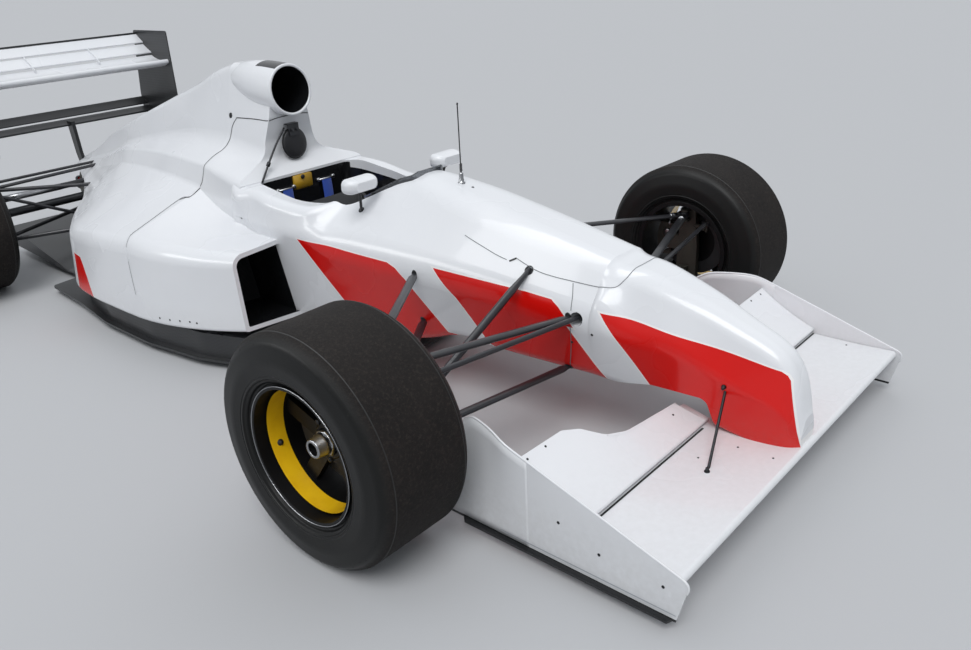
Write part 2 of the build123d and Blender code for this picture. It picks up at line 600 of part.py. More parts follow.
def main():
    os.makedirs("parts", exist_ok=True)
    nose_outer = body_loft(NOSE_ROWS)
    tub_outer = body_loft(TUB_ROWS)
    tub = make_tub(tub_outer)
    seat = make_seat()
    cover_outer = body_loft(COVER_ROWS)
    gearbox = make_gearbox()
    airbox = make_airbox() - tub_outer
    left_pod = make_pod(tub_outer) - airbox

    export("nose_cone", make_nose(nose_outer))
    export("tub", tub)
    export("windscreen", make_windscreen())
    export("airbox", airbox)
    shaft_way = Pos(0, WHEELBASE, REAR_TYRE_RADIUS) * x_disc(SHAFT_PASSAGE_RADIUS, -700, 700)
    export("engine_cover", largest(make_cover(cover_outer) - gearbox - shaft_way))
    export("sidepod_left", left_pod)
    export("sidepod_right", mirror(left_pod, about=Plane.YZ))
    export("radiators", both_sides(make_radiator(tub_outer)))
    export("floor", make_floor(tub_outer))
    export("engine_block", make_engine())
    export("gearbox", gearbox)
    export("rain_light", make_rain_light(gearbox))

    export("headrest", make_headrest() - airbox - tub_outer)
    export("seat", seat)
    export("belts", [largest(strap - seat) for strap in make_belts()])
    export("steering_wheel", make_steering_wheel())
    export("mirrors", both_sides(make_mirror(tub_outer)))
    export("antenna", make_antenna() - tub_outer)

    mainplane = make_front_mainplane() - nose_outer
    endplate = make_front_endplate()
    export("front_mainplane", mainplane)
    export("front_endplates", both_sides(endplate))
    export("front_flaps", both_sides(largest(make_front_flap(nose_outer) - endplate)))
    export("wing_stays", both_sides(make_wing_stay(nose_outer, mainplane)))
    wishbones = make_front_suspension([nose_outer, tub_outer])
    export("front_suspension", both_sides(wishbones[0]) + both_sides(wishbones[1]))
    export("track_rods", make_track_rods())

    inside = REAR_WING_HALF_SPAN - 6
    mainplane = wing_panel(3014, 903, 172, 34, 22, 9, -inside, inside)
    beam = wing_panel(3262, 622, 84, 14, 4, 14, -inside, inside)
    beam_flap = wing_panel(3334, 654, 58, 9, 3, 40, -inside, inside)
    export("rear_mainplane", mainplane)
    export("rear_flaps", [wing_panel(3182, 944, 84, 12, 4, 30, -inside, inside),
                          wing_panel(3253, 995, 72, 10, 3, 36, -inside, inside)])
    export("beam_wing", [beam, beam_flap])
    export("rear_endplates", both_sides(make_rear_endplate()))
    export("wing_pylon", largest(make_pylon() - beam - beam_flap - gearbox))
    upright = make_rear_upright()
    cutters = [cover_outer, gearbox, upright]
    rods = make_rear_suspension(cutters)
    export("rear_suspension", [piece for solid in rods for piece in both_sides(solid)])
    export("rear_uprights", both_sides(upright))

    for axle, axle_y, half_track, radius, width in WHEELS:
        tyre = make_tyre(radius, width)
        rim, face_x = make_rim(width)
        nut = make_nut(face_x)
        pieces = [("tyre", tyre), ("rim", rim - nut), ("nut", nut)]
        if axle == "rear":
            pieces.append(("driveshaft", x_disc(STUB_RADIUS, 130 - half_track, face_x - 12)))
        else:
            upright = make_upright(half_track + face_x - 12, half_track + face_x - 46)
            for name, side in SIDES:
                export(f"upright_front_{name}", upright if side > 0 else mirror(upright, about=Plane.YZ))
        for name, side in SIDES:
            for piece, shape in pieces:
                node = f"{piece}_{name}" if piece == "driveshaft" else f"{piece}_{axle}_{name}"
                export(node, place_wheel(shape, side, axle_y, half_track, radius))


main()
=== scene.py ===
"""Open wheel racing car: finishes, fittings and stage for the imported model.

Places are given in millimetres from the front axle line at ground level, as on a setup sheet:
X to the driver's left, Y towards the tail, Z up. at() turns them into the frame's metres.
"""

import math

import bmesh
import bpy
from mathutils import Matrix, Vector
from mathutils.bvhtree import BVHTree


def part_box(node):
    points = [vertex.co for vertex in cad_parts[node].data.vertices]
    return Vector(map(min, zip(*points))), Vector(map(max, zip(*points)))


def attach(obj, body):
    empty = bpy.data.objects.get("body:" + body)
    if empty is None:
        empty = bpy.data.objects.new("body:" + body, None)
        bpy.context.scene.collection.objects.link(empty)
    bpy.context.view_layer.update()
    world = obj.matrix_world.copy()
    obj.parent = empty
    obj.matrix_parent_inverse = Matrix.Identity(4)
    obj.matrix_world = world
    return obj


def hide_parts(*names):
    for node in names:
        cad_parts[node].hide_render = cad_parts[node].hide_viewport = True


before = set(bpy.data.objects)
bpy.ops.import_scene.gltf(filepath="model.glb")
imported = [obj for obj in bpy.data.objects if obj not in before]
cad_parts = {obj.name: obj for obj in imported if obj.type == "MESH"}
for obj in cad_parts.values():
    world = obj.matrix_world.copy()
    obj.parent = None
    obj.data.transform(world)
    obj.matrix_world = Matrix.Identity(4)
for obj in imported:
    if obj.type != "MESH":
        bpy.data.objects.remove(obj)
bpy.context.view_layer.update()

bl_info = {
    "name": "Open wheel racing car",
    "version": (1, 0, 0),
    "blender": (4, 5, 0),
    "location": "3D View > Sidebar > Racing car",
    "description": "Finishes, fittings and stage of a single-seat racing car",
    "category": "Object",
}

MM = 0.001
ORIGIN_Y = 1264.0
SIGNS = (-1, 1)
SIDES = (("right", -1), ("left", 1))
# Columns: axle name, y, half track, tyre radius, tyre width
WHEELS = (("front", 0.0, 920.0, 318.0, 306.0), ("rear", 2890.0, 848.0, 330.0, 400.0))
LEFT, AFT, UP = Vector((1, 0, 0)), Vector((0, 1, 0)), Vector((0, 0, 1))


def at(x, y, z):
    """A point given in millimetres from the front axle line at ground level."""
    return Vector((x, y - ORIGIN_Y, z)) * MM


def row(y):
    """Y in the frame's metres of a distance in mm behind the front axle line."""
    return (y - ORIGIN_Y) * MM


def linear(hex_code):
    """sRGB hex as the linear colour that the shaders take."""
    values = []
    for start in (1, 3, 5):
        level = int(hex_code[start:start + 2], 16) / 255
        values.append(level / 12.92 if level <= 0.04045 else ((level + 0.055) / 1.055) ** 2.4)
    return (*values, 1.0)


class Finish:
    """A material in the making. Each method adds shader nodes and gives what comes out of them."""

    def __init__(self, name):
        self.material = bpy.data.materials.new(name)
        self.material.use_nodes = True
        self.tree = self.material.node_tree
        self.tree.nodes.clear()
        self.point = self.add("TexCoord", "Object")

    def add(self, kind, output, inputs=None, **settings):
        """One node with its settings. An input takes a socket, a value or the hex code of a colour."""
        made = self.tree.nodes.new(f"ShaderNode{kind}")
        for name, value in settings.items():
            setattr(made, name, value)
        for name, value in (inputs or {}).items():
            if isinstance(value, bpy.types.NodeSocket):
                self.tree.links.new(value, made.inputs[name])
            else:
                made.inputs[name].default_value = linear(value) if isinstance(value, str) else value
        return made.outputs[output]

    def maths(self, operation, *values):
        """Values joined by one operation, from the first to the last."""
        total, *others = values
        for value in others or (0.0,):
            total = self.add("Math", 0, {0: total, 1: value}, operation=operation)
        return total

    def over(self, value, limit):
        """1 where a value is above a limit, and 0 elsewhere. The next four make such masks too."""
        return self.maths("GREATER_THAN", value, limit)

    def under(self, value, limit):
        return self.maths("LESS_THAN", value, limit)

    def within(self, value, low, high):
        return self.every(self.over(value, low), self.under(value, high))

    def every(self, *masks):
        return self.maths("MULTIPLY", *masks)

    def either(self, *masks):
        return self.maths("MAXIMUM", *masks)

    def parts(self, vector):
        """The three parts of a vector."""
        split = self.add("SeparateXYZ", 0, {0: vector}).node
        return tuple(split.outputs)

    def facing(self):
        """The three parts of the surface's normal."""
        return self.parts(self.add("NewGeometry", "Normal"))

    def noise(self, scale, detail=2.0, roughness=0.5):
        return self.add("TexNoise", 0, {"Vector": self.point, "Scale": scale, "Detail": detail,
                                        "Roughness": roughness})

    def blend(self, factor, first, second):
        """A mix of two colours."""
        return self.add("Mix", "Result", {"Factor": factor, "A": first, "B": second}, data_type="RGBA")

    def span(self, value, start, end, low=0.0, high=1.0):
        """Runs from start to end while a value goes from low to high, and keeps to them beyond."""
        return self.add("MapRange", 0, {"Value": value, "From Min": low, "From Max": high, "To Min": start,
                                        "To Max": end})

    def bump(self, height, strength, distance):
        return self.add("Bump", 0, {"Height": height, "Strength": strength, "Distance": distance})

    def done(self, colour, roughness, **inputs):
        """Joins a shader to the output. Names of its inputs have _ for a space; IOR stays in capitals."""
        given = {"Base Color": colour, "Roughness": roughness}
        given.update((name.replace("_", " "), value) for name, value in inputs.items())
        output = self.tree.nodes.new("ShaderNodeOutputMaterial")
        self.tree.links.new(self.add("BsdfPrincipled", 0, given), output.inputs["Surface"])
        return self.material


# Red flash on the flanks, seen from the side: convex fields with corners (y, z) in mm
FLASH_FIELDS = {
    "cockpit": [(915, 498), (498, 482), (462, 468), (426, 434), (366, 338), (317, 261), (290, 200), (600, 60),
                (626, 80)],
    "cockpit_foot": [(338, 297), (297, 257), (255, 241), (232, 238), (230, 150), (420, 150)],
    "axle": [(309, 494), (-35, 475), (-118, 467), (-145, 449), (-187, 408), (-196, 395), (219, 395)],
    "axle_foot": [(233, 410), (174, 314), (100, 190), (-60, 180), (-300, 205), (-275, 243), (-251, 319),
                  (-186, 410)],
    "nose": [(-280, 458), (-771, 366), (-786, 357), (-795, 344), (-838, 150), (-640, 120), (-420, 240)],
    "tail": [(2030, 300), (2008, 270), (1934, 120), (2110, 120), (2110, 300)],
}
# Width of the white line round the red, in metres
KEYLINE = 0.005
# The intake's mouth, and how far its axis sinks for each step to the tail
MOUTH_Y, MOUTH_Z, THROAT_SLOPE = 1276, 946, 0.12


def field(paint, y, z, corners):
    """Distance in metres from the edge of a convex field of the side view, positive inside it."""
    middle_y, middle_z = (sum(values) / len(corners) for values in zip(*corners))
    depths = []
    for (y0, z0), (y1, z1) in zip(corners, corners[1:] + corners[:1]):
        length = math.hypot(y1 - y0, z1 - z0)
        normal_y, normal_z = (z1 - z0) / length, (y0 - y1) / length
        if (middle_y - y0) * normal_y + (middle_z - z0) * normal_z < 0:
            normal_y, normal_z = -normal_y, -normal_z
        along = paint.maths("ADD", paint.every(y, normal_y), paint.every(z, normal_z))
        depths.append(paint.maths("SUBTRACT", along, row(y0) * normal_y + z0 * MM * normal_z))
    return paint.maths("MINIMUM", *depths)


def body_paint(name, fields=(), dark=None):
    """Two-pack polyurethane over moulded composite, sprayed and polished: a deep even gloss with a
    faint orange peel, a little road dust low down, and red fields with a thin white keyline."""
    paint = Finish(name)
    x, y, z = paint.parts(paint.point)
    broad = paint.noise(2.2, 3.0)
    base = paint.blend(broad, "#EBECEE", "#E1E3E7")
    if fields:
        depths = [field(paint, y, z, FLASH_FIELDS[key]) for key in fields]
        red = paint.either(*depths) if len(depths) > 1 else depths[0]
        base = paint.blend(paint.over(red, -KEYLINE), base, "#F4F2F1")
        base = paint.blend(paint.over(red, 0.0), base, paint.blend(broad, "#E00E05", "#D20A04"))
    # Dust settles below 240 mm, and most below 60 mm
    low = paint.span(z, 0.0, 0.30, 0.24, 0.06)
    base = paint.blend(paint.every(low, paint.noise(60.0, 5.0)), base, "#8F8A80")
    if dark is not None:
        base = paint.blend(dark(paint, x, y, z), base, "#17181A")
    # Orange peel: waves about 6 mm apart
    peel = paint.bump(paint.noise(160.0, 1.0), 0.04, 0.0006)
    return paint.done(base, paint.span(broad, 0.22, 0.32), Normal=peel, IOR=1.5, Specular_IOR_Level=0.3,
                      Coat_Weight=0.4, Coat_Roughness=0.05, Coat_IOR=1.5)


def facing_in(paint, x, limit):
    """1 on faces that look at the middle of the car."""
    return paint.under(paint.every(paint.facing()[0], paint.maths("SIGN", x)), limit)


def inside_cockpit(paint, x, y, z):
    """1 on the bare inside of the survival cell: the walls under the painted 30 mm of the rim, the
    bulkhead, the leg tunnel, the ducts beside the driver and the underside."""
    across = paint.maths("ABSOLUTE", x)
    inner_width = paint.under(across, 0.2455)
    # The painted edge falls with the rim from 690 mm at the windscreen to 575 mm beside the driver
    falling = paint.span(y, 0.69, 0.575, row(545), row(900))
    rising = paint.span(y, 0.0, 0.028, row(950), row(1257))
    edge = paint.maths("ADD", falling, rising)
    # Half the width of the opening: 71 mm at the windscreen, 197 mm by the wheel and 244 mm at the elbows
    front = paint.span(y, 0.071, 0.197, row(542), row(815))
    rear = paint.span(y, 0.0, 0.047, row(815), row(985))
    opening = paint.maths("ADD", front, rear)
    looks_in = paint.either(facing_in(paint, x, -0.05), paint.under(across, opening))
    walls = paint.every(inner_width, paint.under(z, edge), paint.over(z, 0.299), looks_in,
                        paint.within(y, row(541), row(1259)))
    tunnel = paint.every(paint.under(across, 0.1125), paint.within(z, 0.297, 0.5645),
                         paint.within(y, row(-62), row(700)))
    duct = paint.every(paint.over(y, row(1062)), paint.under(z, 0.455))
    # The bulkhead behind the driver is bare below its rolled edge
    bulkhead = paint.every(paint.under(across, 0.240), paint.within(z, 0.299, 0.6235),
                           paint.within(y, row(1236), row(1259)))
    # So is every wall in there that looks to the tail or up
    normal = paint.facing()
    aft = paint.every(paint.over(normal[1], 0.35), paint.within(z, 0.11, 0.62))
    level = paint.every(paint.over(normal[2], 0.5), paint.within(z, 0.11, 0.5))
    ends = paint.every(paint.either(aft, level), paint.within(y, row(541), row(1240)), inner_width)
    return paint.either(walls, bulkhead, ends, tunnel, duct, paint.under(z, 0.105))


def stalk(paint, x, y, z):
    """The black stalk under the mirror's pod."""
    return paint.under(z, 0.679)


def foot_strip(paint, x, y, z):
    """The foot strip of the front end plates, left black."""
    return paint.under(z, 0.0355)


def inward_faces(paint, x, y, z):
    """The bare inner side of a shell, whose faces look at the middle of the car, down or up."""
    level = paint.facing()[2]
    down = paint.every(paint.under(level, -0.4), paint.over(z, 0.18))
    up = paint.every(paint.over(level, 0.8), paint.under(z, 0.2))
    return paint.either(facing_in(paint, x, -0.25), down, up)


def inside_throat(paint, x, y, z):
    """The unpainted inside of the round intake above the driver."""
    sunk = paint.every(paint.maths("SUBTRACT", y, row(MOUTH_Y)), THROAT_SLOPE)
    rise = paint.maths("SUBTRACT", paint.maths("ADD", z, sunk), MOUTH_Z * MM)
    out = paint.maths("SQRT", paint.maths("ADD", paint.every(x, x), paint.every(rise, rise)))
    # The throat narrows from 89 mm to 64 mm over 262 mm
    wall = paint.span(y, 0.0890, 0.0640, row(MOUTH_Y), row(1538))
    throat = paint.every(paint.under(out, wall), paint.within(y, row(1270), row(1542)))
    # Bare strip on top, behind the lip
    strip = paint.every(paint.under(paint.maths("ABSOLUTE", x), 0.050), paint.over(z, 1.0),
                        paint.within(y, row(1290), row(1412)))
    return paint.either(throat, strip)


def carbon(name, weave_mm):
    """Woven carbon in epoxy, satin lacquered: near black with a fine 2 by 2 weave. The real tow is
    2 mm wide, drawn coarser so that it shows."""
    cloth = Finish(name)
    turned = cloth.add("Mapping", 0, {"Vector": cloth.point, "Rotation": (0.0, 0.0, math.radians(45))})
    checks = cloth.add("TexChecker", "Fac", {"Vector": turned, "Scale": 1 / (weave_mm * MM)})
    smear = cloth.noise(6.0, 4.0)
    base = cloth.blend(checks, "#1B1C1E", "#26282B")
    base = cloth.blend(cloth.span(smear, 0.0, 0.25, 0.45, 0.8), base, "#4A4845")
    return cloth.done(base, cloth.span(smear, 0.32, 0.52), Normal=cloth.bump(checks, 0.12, 0.0003),
                      Coat_Weight=0.3, Coat_Roughness=0.2)


def slick_rubber(name, axle_y, radius):
    """Vulcanised slick rubber, scrubbed and dusty: a brown-grey torn tread and a darker, smoother
    sidewall with moulded rings."""
    rubber = Finish(name)
    x, y, z = rubber.parts(rubber.point)
    dy = rubber.maths("SUBTRACT", y, row(axle_y))
    dz = rubber.maths("SUBTRACT", z, radius * MM)
    out = rubber.maths("SQRT", rubber.maths("ADD", rubber.every(dy, dy), rubber.every(dz, dz)))
    tread = rubber.span(out, 0.0, 1.0, (radius - 16) * MM, (radius - 2) * MM)
    broad = rubber.noise(9.0, 6.0, 0.65)
    torn = rubber.noise(120.0, 5.0, 0.75)
    smooth = rubber.blend(broad, "#0E0F10", "#1B1B1A")
    scrubbed = rubber.blend(broad, "#0C0C0D", "#272220")
    base = rubber.blend(tread, smooth, scrubbed)
    specks = rubber.span(torn, 0.0, 0.7, 0.5, 0.72)
    base = rubber.blend(rubber.every(specks, tread), base, "#3B3530")
    # Moulded rings 9 mm apart near the bead
    rings = rubber.maths("SINE", rubber.every(out, 2 * math.pi / 0.009))
    ribs = rubber.every(rings, rubber.within(out, 0.190, 0.218), 0.35)
    grain = rubber.every(torn, rubber.maths("ADD", tread, 0.08))
    relief = rubber.bump(rubber.maths("ADD", grain, ribs), 1.0, 0.003)
    return rubber.done(base, rubber.span(tread, 0.42, 0.8), Normal=relief, IOR=1.5, Specular_IOR_Level=0.22)


def metal(name, tone, worn, roughness, grain=90.0, metallic=1.0, coat=0.0, gloss=0.5):
    """Bare or coated metal: an even tone with stains from handling, and a fine tool or cast grain."""
    finish = Finish(name)
    stains = finish.noise(14.0, 5.0)
    relief = finish.bump(finish.noise(grain * 10, 2.0), 0.15, 0.0003)
    rough = finish.span(stains, roughness - 0.08, roughness + 0.12)
    return finish.done(finish.blend(stains, tone, worn), rough, Normal=relief, Metallic=metallic,
                       Specular_IOR_Level=gloss, Coat_Weight=coat, Coat_Roughness=0.15)


def bonded_yellow():
    """Gloss enamel band baked on to the inside of the rim: a strong yellow with brake dust in it."""
    enamel = Finish("yellow_enamel")
    base = enamel.blend(enamel.noise(26.0, 6.0), "#FFD21E", "#E3AC10")
    return enamel.done(base, 0.32, Coat_Weight=0.5, Coat_Roughness=0.08)


def smoked_acrylic():
    """Cast acrylic sheet, smoke tinted: clear, thin and grey with a sharp gloss."""
    sheet = Finish("smoked_acrylic")
    haze = sheet.span(sheet.noise(30.0, 3.0), 0.02, 0.08)
    return sheet.done("#8D9094", haze, IOR=1.49, Transmission_Weight=0.85)


def silvered_glass():
    """Back-silvered mirror glass: a clean bright reflection with a cool tint."""
    glass = Finish("silvered_glass")
    return glass.done("#C9CFD4", glass.span(glass.noise(40.0), 0.02, 0.05), Metallic=1.0)


def soft_black(name, tone="#161618", worn="#26262A", grain_mm=1.6, roughness=0.6, sheen=0.3):
    """Napped or grained black covering: soft, even, and lighter where it is handled."""
    cover = Finish(name)
    grain = cover.add("TexVoronoi", "Distance", {"Vector": cover.point, "Scale": 1 / (grain_mm * MM)})
    return cover.done(cover.blend(cover.noise(18.0, 4.0), tone, worn), roughness,
                      Normal=cover.bump(grain, 0.35, 0.0004), Sheen_Weight=sheen, Sheen_Roughness=0.4)


def webbing(name, tone, ridge):
    """Woven polyester harness webbing: a ribbed weave with a soft sheen, ribs about 2 mm apart."""
    weave = Finish(name)
    ribs = weave.add("TexWave", 1, {"Vector": weave.point, "Scale": 100.0, "Distortion": 0.6},
                     bands_direction="X")
    return weave.done(weave.blend(ribs, tone, ridge), 0.68, Normal=weave.bump(ribs, 0.4, 0.0005),
                      Sheen_Weight=0.4)


def red_lens():
    """Moulded red acrylic lamp lens with a prism pattern 8 mm across."""
    lens = Finish("red_acrylic_lens")
    prisms = lens.add("TexVoronoi", "Distance", {"Vector": lens.point, "Scale": 125.0, "Randomness": 0.0})
    return lens.done(lens.blend(prisms, "#B3140F", "#6E0A08"), 0.18, Normal=lens.bump(prisms, 0.5, 0.001),
                     Coat_Weight=0.8)


def finned_core():
    """Brazed aluminium radiator core, black stove enamel: fins 5 mm apart across flat tubes."""
    core = Finish("enamelled_radiator_core")
    fins = core.add("TexWave", 1, {"Vector": core.point, "Scale": 62.0}, bands_direction="Z")
    return core.done(core.blend(fins, "#0E0F10", "#45484A"), 0.5, Metallic=0.6,
                     Normal=core.bump(fins, 0.8, 0.002))


def stage_floor():
    """Plain pale floor, matt."""
    return Finish("pale_floor").done("#BDBEC0", 0.9, Specular_IOR_Level=0.2)


FINISHES = {}


def wear(node, key):
    """Gives a CAD node its finish."""
    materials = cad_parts[node].data.materials
    materials.clear()
    materials.append(FINISHES[key])


def piece(name, shape, key, body="chassis", smooth=True):
    """A finished mesh object from a bmesh, riding on a body."""
    bmesh.ops.recalc_face_normals(shape, faces=shape.faces)
    mesh = bpy.data.meshes.new(name)
    shape.to_mesh(mesh)
    shape.free()
    made = bpy.data.objects.new(name, mesh)
    bpy.context.scene.collection.objects.link(made)
    mesh.materials.append(FINISHES[key])
    for face in mesh.polygons:
        face.use_smooth = smooth
    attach(made, body)
    return made


def turned(name, key, slot, parts, body="chassis"):
    """A piece of lathe-turned parts, each given as place, axis, profile and sides."""
    shape = bmesh.new()
    for part in parts:
        lathe(shape, *part)
    return piece(name, shape, key, body)


def plated(name, key, plates, smooth=False):
    """A piece of flat plates, each given as corners and depth."""
    shape = bmesh.new()
    for plate in plates:
        slab(shape, *plate)
    return piece(name, shape, key, smooth=smooth)


def ring(shape, profile, steps, centre, axis=LEFT):
    """Spins an open profile of points about an axis into a closed ring."""
    verts = [shape.verts.new(point) for point in profile]
    edges = [shape.edges.new(pair) for pair in zip(verts, verts[1:])]
    bmesh.ops.spin(shape, geom=verts + edges, cent=centre, axis=axis, angle=2 * math.pi, steps=steps,
                   use_merge=True)
    bmesh.ops.remove_doubles(shape, verts=shape.verts, dist=1e-6)
    bmesh.ops.recalc_face_normals(shape, faces=shape.faces)


def turns(sides):
    """Even turns of a full circle."""
    return [2 * math.pi * k / sides for k in range(sides)]


def spoke(share):
    """Way out from the axle after a share of a full circle, from the top over the tail side."""
    turn = 2 * math.pi * share
    return Vector((0, math.sin(turn), math.cos(turn)))


def loop(shape, centre, across, other, wide, high, sides):
    """Vertices round an oval, with its half widths in mm along two directions."""
    return [shape.verts.new(centre + across * (math.cos(t) * wide * MM) + other * (math.sin(t) * high * MM))
            for t in turns(sides)]


def skin_rings(shape, rings, capped=False):
    """Faces between rings of vertices; a ring of one vertex closes the end."""
    for near, far in zip(rings, rings[1:]):
        sides = max(len(near), len(far))
        for k in range(sides):
            after = (k + 1) % sides
            corners = [near[k % len(near)], near[after % len(near)], far[after % len(far)], far[k % len(far)]]
            corners = list(dict.fromkeys(corners))
            if len(corners) > 2:
                shape.faces.new(corners)
    if capped:
        shape.faces.new(rings[0][::-1])
        shape.faces.new(rings[-1])


def lathe(shape, place, axis, profile, sides=16):
    """Turns a profile of (radius, way along the axis) in mm about an axis through a place."""
    axis = axis.normalized()
    across = axis.orthogonal().normalized()
    other = axis.cross(across)
    rings = []
    for radius, along in profile:
        centre = place + axis * (along * MM)
        if radius:
            rings.append(loop(shape, centre, across, other, radius, radius, sides))
        else:
            rings.append([shape.verts.new(centre)])
    skin_rings(shape, rings)


def heading(points, number):
    """Way that a row of points runs at one of them."""
    return points[min(number + 1, len(points) - 1)] - points[max(number - 1, 0)]


def tube(shape, points, radius, sides=12):
    """A round bar along points, with its radius in mm: one for all, or one for each point."""
    radii = radius if isinstance(radius, list) else [radius] * len(points)
    across = heading(points, 0).normalized().orthogonal()
    rings = []
    for number, point in enumerate(points):
        ahead = heading(points, number).normalized()
        across = (across - ahead * across.dot(ahead)).normalized()
        rings.append(loop(shape, point, across, ahead.cross(across), radii[number], radii[number], sides))
    skin_rings(shape, rings, capped=True)


def flow(points, steps=6):
    """Points at even steps of a smooth curve through the given ones."""
    last = len(points) - 1
    curve = []
    for number in range(last):
        before, start = points[max(number - 1, 0)], points[number]
        end, beyond = points[number + 1], points[min(number + 2, last)]
        for k in range(steps):
            t = k / steps
            curve.append(0.5 * (2 * start + (end - before) * t
                                + (2 * before - 5 * start + 4 * end - beyond) * t * t
                                + (3 * start - before - 3 * end + beyond) * t ** 3))
    curve.append(points[last])
    return curve


def slab(shape, corners, depth):
    """A flat plate with the given corners, as thick as the vector depth."""
    low = [shape.verts.new(corner) for corner in corners]
    high = [shape.verts.new(corner + depth) for corner in corners]
    skin_rings(shape, [low, high], capped=True)


def rounded(width, height, radius, steps=5):
    """Corners (u, v) in mm of a rounded rectangle about zero."""
    corners = []
    for quarter, (u, v) in enumerate(((1, 1), (-1, 1), (-1, -1), (1, -1))):
        for k in range(steps + 1):
            turn = math.pi / 2 * (quarter + k / steps)
            corners.append((u * (width / 2 - radius) + radius * math.cos(turn),
                            v * (height / 2 - radius) + radius * math.sin(turn)))
    return corners


def beside(place, sign):
    """A place in mm given for the driver's left, as a point of the side asked for."""
    x, y, z = place
    return at(sign * x, y, z)


def both(points, sign):
    """Places in mm given for the driver's left, as points of the side asked for."""
    return [beside(place, sign) for place in points]


def ribbon(shape, tree, line, sign, steps, width, lift=0.5):
    """A smooth line on a skin through places of one side, its width and its height above the skin in mm."""
    spots, normals = [], []
    for point in flow(both(line, sign), steps):
        place, normal, number, distance = tree.find_nearest(point)
        if not spots or (place - spots[-1]).length > 1e-4:
            spots.append(place)
            normals.append(normal)
    rows = []
    for number, (place, normal) in enumerate(zip(spots, normals)):
        half = heading(spots, number).cross(normal).normalized() * (width * MM / 2)
        raised = place + normal * (lift * MM)
        rows.append((shape.verts.new(raised + half), shape.verts.new(raised - half)))
    for near, far in zip(rows, rows[1:]):
        shape.faces.new((*near, *far[::-1]))


def knob(shape, tree, point, profile, sides=14):
    """A small turned part that stands on a skin."""
    place, normal, number, distance = tree.find_nearest(point)
    lathe(shape, place, normal, profile, sides)


def knobs(shape, tree, places, sign, profile, sides=12):
    """The same small turned part at several places of one side."""
    for place in places:
        knob(shape, tree, beside(place, sign), profile, sides)


def button_head(radius, height):
    """Profile of a domed screw with a socket."""
    return [(radius, -0.5), (radius, height * 0.4), (radius * 0.8, height * 0.85), (radius * 0.45, height),
            (radius * 0.4, height * 0.4), (0, height * 0.4)]


# Profile of a bolt with its washer
BOLT = [(9, -1), (9, 3), (6, 3), (6, 8), (0, 8)]


def surface_of(*nodes):
    """A search tree over the skins of CAD nodes."""
    verts, faces = [], []
    for name in nodes:
        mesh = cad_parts[name].data
        first = len(verts)
        verts.extend(v.co.copy() for v in mesh.vertices)
        faces.extend([first + i for i in polygon.vertices] for polygon in mesh.polygons)
    return BVHTree.FromPolygons(verts, faces)


class PaintSettings(bpy.types.PropertyGroup):
    """Finish of the bodywork."""
    weave_mm: bpy.props.FloatProperty(name="Weave", description="Width of a drawn carbon tow", default=7.0,
                                      min=1.0, max=20.0)


class WheelSettings(bpy.types.PropertyGroup):
    """Fittings of the wheels."""
    band_width: bpy.props.FloatProperty(name="Band width", description="Width of the yellow band in the rim",
                                        default=0.050, unit="LENGTH")


class StageSettings(bpy.types.PropertyGroup):
    """Floor, light and camera."""
    floor_radius: bpy.props.FloatProperty(name="Floor radius", description="Radius of the pale floor",
                                          default=40.0, unit="LENGTH")
    lens: bpy.props.FloatProperty(name="Lens", description="Focal length of the camera in mm", default=32.122)


# Suns: name, direction that the light comes from, strength, apparent size in degrees
SUNS = (("key", (-0.45, -0.30, 0.84), 1.5, 32.0), ("fill", (0.70, 0.25, 0.60), 0.35, 90.0))
# Softboxes seen in the gloss only: name, place, aim, width, height, power
SOFTBOXES = (
    ("box_over", (-0.9, -0.2, 3.6), (-0.2, -0.3, 0.5), 1.0, 4.4, 60.0),
    ("box_side", (-3.6, 1.6, 2.2), (-0.4, 0.2, 0.4), 3.0, 0.8, 40.0),
)
# The photo's camera, solved from known widths of the car: place in mm, then azimuth, fall and roll in degrees
CAMERA_PLACE = (-2077.22, -1549.65, 1446.06)
CAMERA_TURN = (-47.96, 24.05, -2.77)


